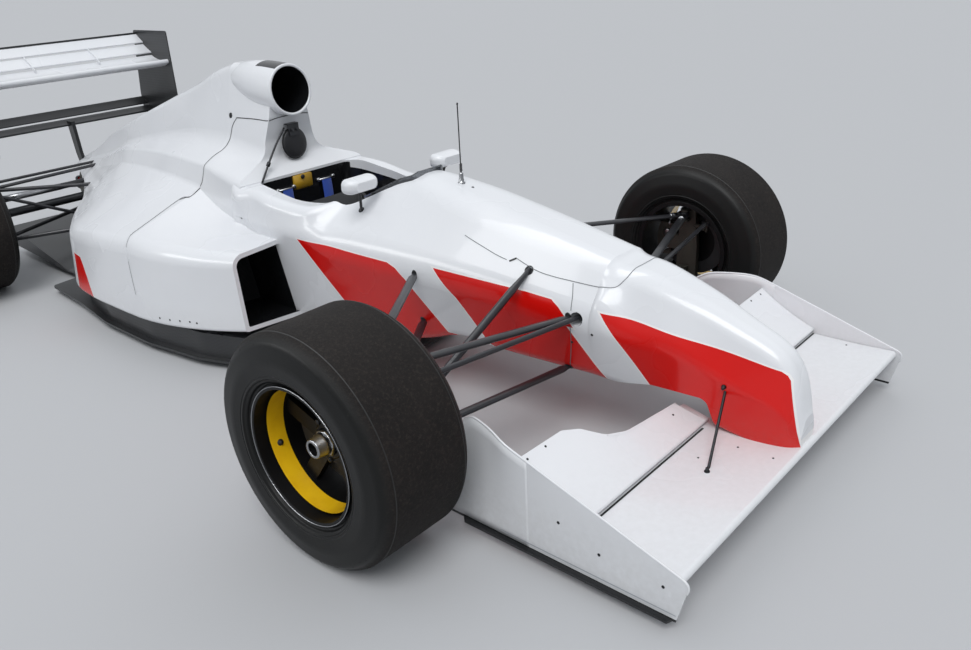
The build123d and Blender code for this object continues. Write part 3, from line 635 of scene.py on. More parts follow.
class CAR_OT_stage(bpy.types.Operator):
    """Floor, soft studio light and the camera"""
    bl_idname = "car.stage"
    bl_label = "Stage"

    def execute(self, context):
        scene = context.scene
        settings = scene.car_stage
        scene.view_settings.view_transform = "Standard"
        self.world(scene)

        shape = bmesh.new()
        bmesh.ops.create_circle(shape, cap_ends=True, segments=96, radius=settings.floor_radius)
        mesh = bpy.data.meshes.new("floor_plane")
        shape.to_mesh(mesh)
        shape.free()
        mesh.materials.append(FINISHES["stage_floor"])
        ground = bpy.data.objects.new("floor_plane", mesh)
        scene.collection.objects.link(ground)

        for name, source, strength, spread in SUNS:
            sun, placed = self.lamp(scene, name, "SUN", strength, Vector(source).to_track_quat("Z", "Y"))
            sun.angle = math.radians(spread)
        for name, place, aim, width, height, power in SOFTBOXES:
            facing = (Vector(aim) - Vector(place)).to_track_quat("-Z", "Y")
            box, placed = self.lamp(scene, name, "AREA", power, facing)
            box.shape = "RECTANGLE"
            box.size, box.size_y = width, height
            placed.location = place
            placed.visible_diffuse = False

        lens = bpy.data.cameras.new("camera")
        lens.lens = settings.lens
        lens.sensor_width = 36.0
        lens.clip_end = 200.0
        camera = bpy.data.objects.new("camera", lens)
        azimuth, fall, roll = (math.radians(angle) for angle in CAMERA_TURN)
        turn = (Matrix.Rotation(azimuth, 4, "Z") @ Matrix.Rotation(math.pi / 2 - fall, 4, "X")
                @ Matrix.Rotation(roll, 4, "Z"))
        camera.matrix_world = Matrix.Translation(at(*CAMERA_PLACE)) @ turn
        scene.collection.objects.link(camera)
        scene.camera = camera
        return {"FINISHED"}

    def world(self, scene):
        """What lights the car, brighter overhead than at the horizon, and the backdrop that shows."""
        world = bpy.data.worlds.new("Studio")
        world.use_nodes = True
        scene.world = world
        tree = world.node_tree
        tree.nodes.clear()
        paths, seen, where, parts, rise, light, backdrop, mix, output = (
            tree.nodes.new(f"ShaderNode{kind}") for kind in
            ("LightPath", "Math", "TexCoord", "SeparateXYZ", "MapRange", "Background", "Background",
             "MixShader", "OutputWorld"))
        seen.operation = "MAXIMUM"
        for name, value in (("From Min", -0.1), ("From Max", 0.8), ("To Min", 0.33), ("To Max", 0.74)):
            rise.inputs[name].default_value = value
        light.inputs["Color"].default_value = linear("#EAEFF5")
        backdrop.inputs["Color"].default_value = linear("#CFD0D2")
        for source, target in (
            (paths.outputs["Is Camera Ray"], seen.inputs[0]),
            (paths.outputs["Is Transmission Ray"], seen.inputs[1]),
            (where.outputs["Generated"], parts.inputs[0]), (parts.outputs[2], rise.inputs["Value"]),
            (rise.outputs[0], light.inputs["Strength"]), (seen.outputs[0], mix.inputs[0]),
            (light.outputs[0], mix.inputs[1]), (backdrop.outputs[0], mix.inputs[2]),
            (mix.outputs[0], output.inputs[0]),
        ):
            tree.links.new(source, target)

    def lamp(self, scene, name, kind, power, facing):
        """A lamp and its object."""
        light = bpy.data.lights.new(name, kind)
        light.energy = power
        placed = bpy.data.objects.new(name, light)
        placed.rotation_euler = facing.to_euler()
        scene.collection.objects.link(placed)
        return light, placed


class CAR_OT_paint(bpy.types.Operator):
    """Finishes of the CAD pieces"""
    bl_idname = "car.paint"
    bl_label = "Paint and finishes"

    def execute(self, context):
        for node, key in NODE_FINISHES.items():
            wear(node, key)
        for side, sign in SIDES:
            for axle, *sizes in WHEELS:
                wear(f"tyre_{axle}_{side}", f"rubber_{axle}")
                wear(f"rim_{axle}_{side}", "rim_black")
                wear(f"nut_{axle}_{side}", "bright_alloy")
            wear(f"upright_front_{side}", "cast_magnesium")
            wear(f"driveshaft_{side}", "dark_steel")
        return {"FINISHED"}


# Wheel fittings in mm. The rim's edge lies this far inboard of the sidewall, and the face of the spokes
# this far inboard of the edge
RIM_INSET, FACE_INSET = 14, 101
BAND_START, BAND_RADIUS = 16, 167.2
VALVE_TURN = math.radians(-16)
BEAD_EDGE = ((-1, 186.6), (1.0, 186.4), (1.0, 184.8), (-1, 184.4))
PEGS, PEG_CIRCLE = 5, 54
DISC_INSET, DISC_HALF, DISC_FACE = 46, 13.6, [(86, 0), (131.5, 0)]
TREAD_INSET, MOULDING = 30, ((-1, -1.2), (-0.5, 0.9), (0.5, 0.7), (1, -1.6))
# Rows of wear holes, drawn as flat near-black discs whose colour is painted shade: inset from the sidewall, depth
# below the tread, number of holes and shift of the first
HOLE_ROWS = ((24, 10, 26, 0.0), (12, 24, 26, 0.5))
NUT_CONE = [(20, 21), (31, 21), (31, 31), (28.5, 34), (26, 54), (24, 57.5), (18.5, 57.5), (17.5, 56), (17.5, 20)]


class CAR_OT_wheels(bpy.types.Operator):
    """Yellow bands, bead edges, nuts, drive pegs, valves and tyre marks of the four wheels"""
    bl_idname = "car.wheels"
    bl_label = "Wheel fittings"

    def execute(self, context):
        for wheel in WHEELS:
            for side, sign in SIDES:
                self.fit(side, sign, context.scene.car_wheels.band_width / MM, *wheel)
        return {"FINISHED"}

    def fit(self, side, sign, band_width, axle, axle_y, half_track, radius, width):
        """Fittings of one wheel."""
        corner = f"{axle}_{side}"
        body = f"wheel_{corner}"
        half = width / 2 - RIM_INSET
        face = half - FACE_INSET
        centre = at(0, axle_y, radius)
        outboard = Vector((sign, 0, 0))

        def out(x, r=0.0):
            """A point x mm outboard of the tyre's middle and r mm above the axle."""
            return at(sign * (half_track + x), axle_y, radius + r)

        shape = bmesh.new()
        band = face + BAND_START
        ring(shape, [out(band, BAND_RADIUS), out(band + 2 + band_width, BAND_RADIUS)], 96, centre)
        piece(f"band_{corner}", shape, "yellow_enamel", body)
        shape = bmesh.new()
        ring(shape, [out(half + x, r) for x, r in BEAD_EDGE], 96, centre)
        piece(f"bead_edge_{corner}", shape, "bright_alloy", body)

        # Valve with its rubber grommet in the band, on the tail side
        outwards = Vector((0, math.cos(VALVE_TURN), math.sin(VALVE_TURN)))
        seat = out(band + band_width * 0.5) + outwards * ((BAND_RADIUS + 0.2) * MM)
        turned(f"valve_{corner}", "rubber_black", "slick_rubber",
               [(seat, -outwards, [(9, 0), (9, 1.5), (6, 3), (4, 3), (3.4, 8), (0, 8)])], body)

        # Wheel nut: a hexagon with a cone. Its bore and its seat are black
        hub = out(face)
        nut = turned(f"wheel_nut_{corner}", "bright_alloy", "nut_alloy",
                     [(hub, outboard, [(20, 6), (37.5, 6), (37.5, 19), (34, 22), (20, 22)], 6),
                      (hub, outboard, NUT_CONE, 40)], body)
        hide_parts(f"nut_{axle}_{side}")
        turned(f"nut_seat_{corner}", "rim_black", "rim_black",
               [(hub, outboard, [(17.4, 55), (17.4, 14), (0, 14)], 32),
                (hub, outboard, [(37, 3.8), (49, 3.8), (49, 7), (45, 9), (37, 9)], 40)], body)
        feet = [hub + spoke((peg + 0.5) / PEGS) * (PEG_CIRCLE * MM) for peg in range(PEGS)]
        turned(f"drive_pegs_{corner}", "dark_steel", "rod_steel",
               [(foot, outboard, [(8, 4), (8, 9), (6, 11.5), (0, 11.5)]) for foot in feet], body)

        # Friction faces of the brake disc behind the spokes
        disc = out(face - DISC_INSET)
        turned(f"disc_faces_{corner}", "disc_carbon", "rod_steel",
               [(disc + outboard * (x * MM), outboard, DISC_FACE, 64) for x in (-DISC_HALF, DISC_HALF)], body)

        # Raised moulding where the tread starts, and beside it the two rows of wear holes as flat near-black discs
        # of painted shade
        tyre = surface_of(f"tyre_{corner}")
        tread_edge = width / 2 - TREAD_INSET
        for edge, facing in ((tread_edge, "outer"), (-tread_edge, "inner")):
            spot = tyre.find_nearest(out(edge, radius + 40))[0] / MM
            step = math.copysign(2.2, spot.x - sign * half_track)
            profile = [at(spot.x + step * way, axle_y, spot.z + rise) for way, rise in MOULDING]
            shape = bmesh.new()
            ring(shape, profile, 120, centre)
            piece(f"tread_edge_{corner}_{facing}", shape, "rubber_plain", body)
        shape = bmesh.new()
        for inset, drop, count, start in HOLE_ROWS:
            for number in range(count):
                away = spoke((number + start) / count) * ((radius - drop) * MM)
                knob(shape, tyre, out(width / 2 - inset) + away, [(2.4, 0.3), (0, 0.3)], 8)
        piece(f"wear_hole_shades_{corner}", shape, "hole_shade_black", body)


# Lines and small parts on the body. Places (x, y, z) are for the driver's left
FINE_SEAMS = (
    [(152, -166, 515), (166, -175, 494), (179, -182, 474), (188, -187, 415), (187, -183, 349), (176, -175, 303),
     (161, -163, 246), (120, -160, 226)],
    [(168, 240, 592), (171, 208, 583), (175, 112, 557), (174, 66, 547)],
    [(163, 36, 554), (164, -53, 529), (150, -160, 519), (131, -277, 518), (99, -309, 539), (50, -316, 560),
     (0, -317, 565)],
    [(642, 1566, 239), (631, 1580, 336), (621, 1594, 434), (593, 1605, 461)],
)
COVER_SEAMS = (
    [(593, 1605, 461), (480, 1610, 507), (355, 1613, 548), (331, 1583, 554), (274, 1589, 576), (266, 1575, 608),
     (246, 1571, 666), (192, 1581, 692), (150, 1566, 745), (104, 1552, 796), (97, 1521, 833)],
    [(97, 1521, 833), (99, 1428, 838), (98, 1376, 839), (97, 1318, 839), (70, 1309, 843), (42, 1309, 845),
     (0, 1308, 846)],
)
BODY_SCREWS = (
    (185, -185, 342), (190, -259, 387), (632, 1430, 172), (622, 1373, 175), (611, 1320, 180), (598, 1271, 184),
    (588, 1239, 184), (300, 1262, 520), (560, 1600, 300), (618, 1500, 240), (230, 1596, 640),
)
ANTENNA_TIP = (0, 400, 962)


class CAR_OT_bodywork(bpy.types.Operator):
    """Joint lines, catches and screws of the body panels, the intake's lip and the antenna"""
    bl_idname = "car.bodywork"
    bl_label = "Bodywork"

    def execute(self, context):
        tree = surface_of("nose_cone", "tub", "airbox", "engine_cover", "sidepod_right", "sidepod_left")
        fine, broad, screws = bmesh.new(), bmesh.new(), bmesh.new()
        for sign in SIGNS:
            for line in FINE_SEAMS:
                ribbon(fine, tree, line, sign, 24, 2.4, 0.9)
            for line in COVER_SEAMS:
                ribbon(broad, tree, line, sign, 20, 3.4, 0.8)
            # The wide part of the joint beside the pod, and the catch of the front hatch
            ribbon(broad, tree, [(360, 1612, 547), (331, 1583, 554)], sign, 6, 6.0)
            ribbon(broad, tree, [(174, 56, 544), (163, 36, 555)], sign, 6, 6.0, 1.0)
            knobs(screws, tree, BODY_SCREWS, sign, button_head(4.0, 1.6))
            knobs(screws, tree, [(94, 1567, 838)], sign,
                  [(11, -0.5), (11, 1.2), (9, 2.2), (3, 2.6), (0, 2.6)], 20)
        knob(screws, tree, at(0, 350, 693), button_head(5.0, 1.6), 12)
        piece("fine_seams", fine, "seam_grey")
        piece("cover_seams", broad, "joint_and_slot_shadow_black")
        piece("body_screws", screws, "dark_steel")

        # Rolled lip round the intake
        centre = at(0, MOUTH_Y, MOUTH_Z)
        forwards = Vector((0, -1, THROAT_SLOPE)).normalized()
        upwards = Vector((0, THROAT_SLOPE, 1)).normalized()
        section = [centre + upwards * ((92.2 - 5.4 * math.cos(turn)) * MM)
                   + forwards * (4.2 * math.sin(turn) * MM) for turn in turns(24)[:13]]
        shape = bmesh.new()
        ring(shape, section, 72, centre, forwards)
        piece("intake_lip", shape, "paint_plain")

        # Whip antenna: turned foot, spring collar and tip
        foot = tree.ray_cast(at(0, 400, 900), -UP)[0]
        profile = [(13, -1), (13, 2), (9, 4), (9, 12), (7.6, 14), (7.6, 30), (6, 34), (3, 36)]
        turned("antenna_foot", "bright_alloy", "nut_alloy", [(foot, UP, profile, 24)])
        shape = bmesh.new()
        coil = [foot + Vector((4.6 * math.cos(k * 0.7), 4.6 * math.sin(k * 0.7), 38 + k * 0.42)) * MM
                for k in range(64)]
        tube(shape, coil, 1.0, 8)
        lathe(shape, at(*ANTENNA_TIP), UP, [(2, -4), (3.2, -2), (3.4, 0), (2, 3), (0, 3)], 12)
        piece("antenna_spring", shape, "rubber_black")
        return {"FINISHED"}


UPPER_BALL, LOWER_BALL = (828, 12, 440), (828, 12, 206)
BALL_HOUSING = [(6.5, -12), (15, -12), (16, -10), (16, 10), (15, 12), (6.5, 12), (6.5, -12)]
# Bars from upright to body: name, outer end, inner end, half the chord and half the thickness of the section
FRONT_BARS = (
    ("upper_front", UPPER_BALL, (158, -193, 423), 15, 9), ("upper_rear", UPPER_BALL, (240, 400, 461), 15, 8),
    ("lower_front", LOWER_BALL, (110, -165, 244), 15, 9), ("lower_rear", LOWER_BALL, (180, 430, 280), 15, 9),
    ("pushrod", (762, 14, 216), (162, -18, 534), 12, 12),
    ("track_rod", (828, -83, 424), (160, -206, 424), 8, 8),
)
# Name, outer end, inner end and radius
REAR_BARS = (
    ("upper_rear", (652, 2880, 462), (180, 2690, 420), 9),
    ("lower_front", (652, 2870, 214), (130, 2600, 232), 10),
    ("lower_rear", (652, 2870, 214), (60, 3080, 236), 10),
    ("toe_link", (652, 2930, 392), (60, 2930, 392), 15),
    ("top_link", (652, 2944, 474), (60, 2950, 474), 7),
)


class CAR_OT_running_gear(bpy.types.Operator):
    """Wishbones, lock nuts, grommets, boots and brake parts of the suspension"""
    bl_idname = "car.running_gear"
    bl_label = "Running gear"

    def execute(self, context):
        body = surface_of("nose_cone", "tub")
        grommets, hexes, sleeves, bars = (bmesh.new() for number in range(4))
        for sign in SIGNS:
            for name, outer, inner, chord, thickness in FRONT_BARS:
                start, end = both([outer, inner], sign)
                along = (end - start).normalized()
                hit, normal, number, distance = body.ray_cast(start, along)
                pushrod = name == "pushrod"
                if hit is not None:
                    self.grommet(grommets, hit, normal, along, 10 if pushrod else chord * 0.8, thickness)
                    end = hit
                if name == "track_rod":
                    continue
                self.bar(bars, start, end, chord, thickness, pushrod)
                near = start + along * ((30 if pushrod else 46) * MM)
                size = max(thickness, chord * 0.8)
                lathe(hexes, near, along,
                      [(size * 0.6, -12), (size + 2, -11), (size + 2, 9), (size * 0.6, 10)], 6)
                lathe(sleeves, near + along * (14 * MM), along,
                      [(size * 0.6, -2), (size + 1, -2), (size + 1, 2), (size * 0.6, 2)], 20)
            for place in both([UPPER_BALL, LOWER_BALL], sign):
                lathe(bars, place, UP, BALL_HOUSING, 24)
            for name, outer, inner, size in REAR_BARS:
                start, end = both([outer, inner], sign)
                along = (end - start).normalized()
                lathe(hexes, start + along * (40 * MM), along,
                      [(size * 0.6, -14), (size + 3, -13), (size + 3, 9), (size * 0.6, 10)], 6)
                if name == "toe_link":
                    tube(sleeves, [start + along * (70 * MM), start + along * (380 * MM)], 16.2, 24)
        wishbones = piece("wishbones", bars, "black_tube")
        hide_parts("front_suspension")
        piece("rod_grommets", grommets, "rubber_black")
        piece("rod_lock_nuts", hexes, "dark_steel")
        piece("rod_sleeves", sleeves, "bright_alloy")

        for side, sign in SIDES:
            # Pistons and bleed screw of the front caliper
            parts = [(place, Vector((-sign, 0, 0)), [(15, 0), (15, 4), (12, 6), (0, 6)], 20)
                     for place in both([(864, 104, 346), (864, 104, 290)], sign)]
            parts.append((beside((856, 90, 386), sign), UP, [(5, -4), (5, 4), (3, 6), (3, 12), (0, 12)], 10))
            turned(f"caliper_caps_{side}", "bright_alloy", "cast_casing", parts, f"upright_{side}")

            # Folded rubber boots at both ends of the driveshaft
            low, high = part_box(f"driveshaft_{side}")
            middle = (low + high) / 2
            ends = sorted((abs(low.x), abs(high.x)))
            boot = []
            for fold in range(5):
                boot += [(40 - fold * 5, fold * 13), (33 - fold * 5, fold * 13 + 7)]
            facing_out = [(radius, 63 - along) for radius, along in boot]
            turned(f"shaft_boots_{side}", "rubber_black", "slick_rubber",
                   [(Vector((sign * reach, middle.y, middle.z)), Vector((sign, 0, 0)), profile, 28)
                    for reach, profile in ((ends[0] + 0.012, boot), (ends[1] - 0.075, facing_out))],
                   f"wheel_rear_{side}")
        return {"FINISHED"}

    def grommet(self, shape, hole, normal, along, breadth, thickness):
        """Oval rubber edge of a hole in the body, wide enough for the bar that runs in at a slant."""
        slant = (along - normal * along.dot(normal)).normalized()
        reach = min(thickness * 0.7 / max(abs(along.dot(normal)), 0.6), 11)
        low = normal.cross(slant)
        rings = [loop(shape, hole + normal * (lift * MM), slant, low, reach + wide, breadth + wide, 28)
                 for wide, lift in ((4.5, 0.3), (4, 1.2), (2.5, 1.6), (1.5, 0.7), (-2, 0.5))]
        skin_rings(shape, rings)
        shape.faces.new(rings[-1])

    def bar(self, shape, start, end, chord, thickness, necked):
        """An oval bar, flat side up, with drawn-in ends; a pushrod has a longer neck at the body."""
        along = (end - start).normalized()
        fore = (AFT - along * AFT.dot(along)).normalized()
        length = (end - start).length / MM
        neck = 90 if necked else 26
        rings = []
        for way, scale in ((0, 0.55), (10, 0.7), (34, 1.0), (length - neck, 1.0), (length - neck * 0.35, 0.66),
                           (length + 6, 0.6)):
            rings.append(loop(shape, start + along * (way * MM), fore, along.cross(fore), chord * scale,
                              thickness * max(scale, 0.7), 20))
        skin_rings(shape, rings, capped=True)


# Front end plates in mm: foot, thickness, x of the outer face and top edge (y, z)
PLATE_FOOT, PLATE_THICKNESS, PLATE_FACE = 28, 6, 706
PLATE_TOP = ((-864, 118), (-867, 134), (-858, 149), (-814, 164), (-708, 197), (-604, 230), (-503, 261),
             (-424, 286))
# Their leaning rear part: y, then x and z of the top edge
PLATE_TWIST = ((-424, 700, 286), (-350, 696, 306), (-277, 668, 311), (-200, 640, 304), (-150, 624, 278))
PLATE_LIP = [(703, y, z) for y, z in PLATE_TOP] + [(699, -350, 306), (671, -277, 311), (643, -200, 304),
                                                   (628, -154, 279)]
# Painted shade of the end plates' folds, drawn as grey lines on the flat plate: along the foot, and where the flat
# part turns into the leaning one
FOOT_FOLD_SHADE = [(709, -842, 47), (709, -560, 47), (709, -300, 47), (709, -250, 52), (709, -222, 70)]
LEAN_FOLD_SHADE = [(709, -300, 96), (709, -322, 190), (709, -340, 280)]
FLAP_EDGE = [(696, -381, 232), (508, -384, 232), (452, -404, 228), (396, -450, 220), (330, -472, 210),
             (200, -484, 205), (96, -492, 200)]
# Painted shadow in the slot under the front flap's leading edge: a black line on the mainplane
SLOT_SHADOW_LINE = [(96, -578, 160), (400, -578, 160), (697, -578, 160)]
PLATE_SCREWS = ((709, -518, 153), (709, -636, 115), (709, -807, 111))
FLAP_SCREWS = ((586, -392, 262), (660, -392, 262), (150, -520, 210), (640, -556, 160))
WING_SCREWS = ((130, -700, 180), (240, -640, 180), (130, -800, 170), (668, -700, 180))
# Spacers in the slots of the rear wing and bolts in its end plates: y, z
SPACER = ((3150, 925), (3196, 950), (3262, 992), (3262, 1006), (3190, 968), (3146, 936))
REAR_BOLTS = ((3020, 905), (3090, 905), (3200, 955), (3262, 1000), (3330, 1030), (3060, 640), (3180, 640),
              (3290, 640))


class CAR_OT_wings(bpy.types.Operator):
    """End plates, lips, screws and stays of the front and rear wings"""
    bl_idname = "car.wings"
    bl_label = "Wings"

    def end_plate(self, shape, sign):
        """End plate of one side: flat front and foot strip."""
        outline = [(-842, PLATE_FOOT), *PLATE_TOP, (-424, PLATE_FOOT)]
        slab(shape, both([(PLATE_FACE, y, z) for y, z in outline], sign), LEFT * (-sign * PLATE_THICKNESS * MM))
        foot = [(x, y, PLATE_FOOT) for x, y in ((705, -835), (722, -828), (724, -220), (705, -200))]
        slab(shape, both(foot, sign), UP * (PLATE_THICKNESS * MM))

    def end_plate_rear(self, shape, sign):
        """Leaning rear part of an end plate."""
        steps = 10
        rings = []
        for y, x, z in flow([Vector(station) for station in PLATE_TWIST]):
            outer = [(PLATE_FACE + (x - 700) * (k / steps) ** 1.5, y, PLATE_FOOT + (z - PLATE_FOOT) * k / steps)
                     for k in range(steps + 1)]
            inner = [(x - PLATE_THICKNESS, y, z) for x, y, z in reversed(outer)]
            rings.append([shape.verts.new(point) for point in both(outer + inner, sign)])
        skin_rings(shape, rings, capped=True)

    def execute(self, context):
        plates, flaps, mainplane, nose = (surface_of(name) for name in ("front_endplates", "front_flaps",
                                                                        "front_mainplane", "nose_cone"))
        lips, fold_shade_mesh, screws, slot_shadow_mesh, fittings, plate_mesh, rear_mesh = (bmesh.new() for number in range(7))
        for sign in SIGNS:
            self.end_plate(plate_mesh, sign)
            self.end_plate_rear(rear_mesh, sign)
            tube(lips, flow(both(PLATE_LIP, sign), 4), 3.4, 10)
            # Grey lines of painted shade where the end plate folds
            ribbon(fold_shade_mesh, plates, FOOT_FOLD_SHADE, sign, 8, 2.6)
            ribbon(fold_shade_mesh, plates, LEAN_FOLD_SHADE, sign, 6, 1.6)
            knobs(screws, plates, PLATE_SCREWS, sign, button_head(4.2, 1.6))
            ribbon(lips, flaps, FLAP_EDGE, sign, 8, 5.0, 0.9)
            knobs(screws, flaps, FLAP_SCREWS, sign, button_head(3.4, 1.4), 10)
            # Black line of painted shadow in the slot under the flap
            ribbon(slot_shadow_mesh, mainplane, SLOT_SHADOW_LINE, sign, 8, 6.0, 0.6)
            knobs(screws, mainplane, WING_SCREWS, sign, button_head(3.2, 1.2), 10)
            knobs(fittings, nose, [(98, -632, 296)], sign, [(7, -1), (7, 3), (5, 6), (4.4, 12), (0, 12)], 14)
            knobs(fittings, mainplane, [(286, -690, 160)], sign,
                  [(8, -1), (8, 2), (5, 6), (4.4, 12), (0, 12)], 14)
        end_plates = piece("end_plates", plate_mesh, "paint_tip", smooth=False)
        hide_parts("front_endplates")
        for name, shape, key, slot in (
            ("end_plate_rears", rear_mesh, "paint_tip", "painted_bodywork"),
            ("wing_lips", lips, "paint_plain", "painted_bodywork"),
            # Grey lines of painted shade along the end plates' folds
            ("plate_fold_shades", fold_shade_mesh, "fold_shade_grey", "painted_bodywork"),
            ("wing_screws", screws, "dark_steel", "rod_steel"),
            # Black line of painted shadow in the slot under the front flap
            ("slot_shadows", slot_shadow_mesh, "joint_and_slot_shadow_black", "slick_rubber"),
            ("stay_fittings", fittings, "dark_steel", "rod_steel"),
        ):
            piece(name, shape, key)

        # Rear wing: turned-up strip on the top flap, spacers in the slots and bolts in the end plates
        low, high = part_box("rear_flaps")
        strip = [Vector((x, high.y - 0.002, high.z + z))
                 for x, z in ((low.x, -0.004), (high.x, -0.004), (high.x, 0.010), (low.x, 0.010))]
        plated("rear_lip", "carbon", [(strip, AFT * 0.0016)])
        plated("slot_spacers", "paint_plain",
               [([at(x, y, z) for y, z in SPACER], LEFT * (3 * MM)) for x in (-170, 170)])
        shape = bmesh.new()
        plates = surface_of("rear_endplates")
        for sign in SIGNS:
            knobs(shape, plates, [(505, y, z) for y, z in REAR_BOLTS], sign, button_head(5.0, 2.0))
        piece("rear_plate_bolts", shape, "bright_alloy")
        return {"FINISHED"}


# Route of a shoulder strap from the bulkhead through the seat's slot and down its back: y, z
SHOULDER_ROUTE = ((1246, 582), (1243, 540), (1238, 489), (1216, 460), (1160, 448), (1098, 446), (1062, 424),
                  (1022, 368), (990, 338), (945, 332), (912, 336))
LAP_ROUTE = [(168, 1000, 380), (130, 960, 348), (80, 925, 338), (26, 905, 338)]
STRAP_X, STRAP_WIDTH, LAP_WIDTH = 98, 48, 44
BUCKLE = [(0, 0), (30, 0), (30, 10), (26, 15), (12, 16), (10, 22), (0, 22)]
STRAP_SECTION = ((-1, 0), (-0.92, 1), (0, 1.1), (0.92, 1), (1, 0), (0.92, -1), (0, -1.1), (-0.92, -1))
# Steering wheel and head pad: middle in mm and tilt about the line across the car
WHEEL_MIDDLE, WHEEL_TILT, GRIP_RADIUS = (0, 716, 548), -72, 118
PAD_MIDDLE, PAD_TILT = (0, 1296, 738), 84
PAD_SIDES, PIPING_SIDES = 48, 72
DASH_Y = 598
PAD_WIDE, PAD_HIGH = 56, 59
# Share of the head pad's half width, and depth in mm
PAD_SECTION = ((0.0, -10), (0.55, -10.5), (0.88, -9.5), (0.985, -5), (0.985, 5), (0.88, 9.5), (0.55, 10.5),
               (0.0, 10))
# Mirror faces: name, width, height, lift off the pod in mm, finish and slot
MIRROR_FACES = (("mirror_seal", 122, 44, 0.6, "rubber_black", "grip_black"),
                ("mirror_glass", 112, 35, 1.4, "silvered_glass", "nut_alloy"))


class CAR_OT_cockpit(bpy.types.Operator):
    """Harness, headrest pad, steering wheel controls, mirror glass and small parts round the driver"""
    bl_idname = "car.cockpit"
    bl_label = "Cockpit"

    def execute(self, context):
        self.harness()
        # Yellow pad on the bulkhead, and its dark stud
        plated("bulkhead_pad", "pad_yellow",
               [([at(-16 + u, 1250, 594 + v) for u, v in rounded(92, 56, 8)], AFT * (6 * MM))], smooth=True)
        turned("bulkhead_studs", "rubber_black", "grip_black",
               [(at(-16, 1250, 612), -AFT, [(9, 0), (9, 3), (6, 5), (0, 5)], 18)])

        # Thin release rod in front of the hoop, with its clamp
        shape = bmesh.new()
        rod = [at(-203, 1256, 628), at(-150, 1274, 686), at(-94, 1290, 746), at(-37, 1300, 803)]
        tube(shape, flow(rod), 4.0, 10)
        lathe(shape, rod[1], rod[2] - rod[1], [(4, -9), (7.5, -8), (7.5, 8), (4, 9)], 14)
        piece("release_rod", shape, "dark_steel")

        # Mirror glass in a black seal
        for name, width, height, lift, key, slot in MIRROR_FACES:
            outline = rounded(width, height, 14)
            plated(name, key, [([at(sign * 212 + u, 690 + lift, 706 + v) for u, v in outline],
                                      AFT * (-1.2 * MM)) for sign in SIGNS])
        shape = bmesh.new()
        body = surface_of("tub")
        for sign in SIGNS:
            knobs(shape, body, [(190, 704, 606)], sign, [(11, -1), (11, 1.5), (8, 3), (6, 6), (0, 6)], 18)
            lathe(shape, beside((214, 680, 684), sign), Vector((sign * 0.1, -0.2, 1)),
                  [(9, -8), (9, -3), (7, 0)])
        piece("mirror_feet", shape, "dark_steel")

        self.steering_wheel()
        self.head_pad()
        self.dash()
        return {"FINISHED"}

    def harness(self):
        """Shoulder and lap straps, with their bars, slides and buckle."""
        shape = bmesh.new()
        for sign in SIGNS:
            route = flow([at(sign * (STRAP_X - max(0, 1010 - y) * 0.72), y, z) for y, z in SHOULDER_ROUTE])
            self.strap(shape, route, STRAP_WIDTH, LEFT)
            self.strap(shape, flow(both(LAP_ROUTE, sign)), LAP_WIDTH, Vector((0, 1, 0.2)))
        harness = piece("harness", shape, "webbing_blue")
        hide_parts("belts")

        metalwork = bmesh.new()
        for sign in SIGNS:
            tube(metalwork, both([(62, 1248, 580), (138, 1248, 580)], sign), 4.2, 12)
            for place in both([(62, 1256, 580), (138, 1256, 580)], sign):
                lathe(metalwork, place, -AFT, [(9, 0), (9, 6), (7, 9), (0, 9)])
            # Adjuster slide on each strap
            place = at(sign * STRAP_X, 1046, 402)
            down = (at(0, 1022, 368) - at(0, 1062, 424)).normalized()
            out = Vector((0, down.z, -down.y))
            slide = [place + out * (3 * MM) + LEFT * (u * MM) + down * (v * MM) for u, v in rounded(58, 30, 6)]
            slab(metalwork, slide, out * (3 * MM))
        lathe(metalwork, at(0, 905, 336), UP, BUCKLE, 28)
        piece("harness_hardware", metalwork, "bright_alloy")

    def strap(self, shape, route, width, across):
        """A flat woven strap with thin edges along a route."""
        across = across.normalized()
        rings = []
        for number, point in enumerate(route):
            ahead = heading(route, number).normalized()
            level = (across - ahead * across.dot(ahead)).normalized()
            up = ahead.cross(level)
            rings.append([shape.verts.new(point + level * (u * width / 2 * MM) + up * (v * 1.3 * MM))
                          for u, v in STRAP_SECTION])
        skin_rings(shape, rings, capped=True)

    def steering_wheel(self):
        """Grips, boss and buttons on the steering wheel."""
        tilt = Matrix.Rotation(math.radians(WHEEL_TILT), 3, "X")
        column = tilt @ UP

        def on_wheel(u, v, w):
            return at(*WHEEL_MIDDLE) + tilt @ Vector((u, v, w)) * MM

        shape = bmesh.new()
        for start, end in ((-38, 38), (142, 218)):
            arc = [math.radians(start + (end - start) * k / 14) for k in range(15)]
            sizes = [13.2] + [15.2 + 0.8 * math.sin(k * 1.9) for k in range(13)] + [13.2]
            tube(shape, [on_wheel(GRIP_RADIUS * math.cos(t), GRIP_RADIUS * math.sin(t), 0) for t in arc], sizes, 16)
        piece("wheel_grips", shape, "suede", "steering_wheel")
        turned("wheel_boss", "dark_steel", "rod_steel",
               [(on_wheel(0, 0, 13), column, [(34, 0), (34, 5), (30, 9), (14, 10), (12, 15), (0, 15)], 32)],
               "steering_wheel")
        for name, key, places in (("red", "knob_red", ((-58, 0),)),
                                  ("black", "rubber_black", ((58, 0), (0, 58)))):
            turned(f"wheel_buttons_{name}", key, "grip_black",
                   [(on_wheel(u, v, 2.5), column, [(9, 0), (9, 4), (7, 7), (0, 7.5)]) for u, v in places],
                   "steering_wheel")

    def head_pad(self):
        """Round stuffed pad on the hoop: swelled by cloth pressure, then piped round its edge."""
        middle = at(*PAD_MIDDLE)
        tilt = Matrix.Rotation(math.radians(PAD_TILT), 3, "X")

        def on_pad(u, v, w=0.0):
            return middle + tilt @ Vector((u, v, w)) * MM

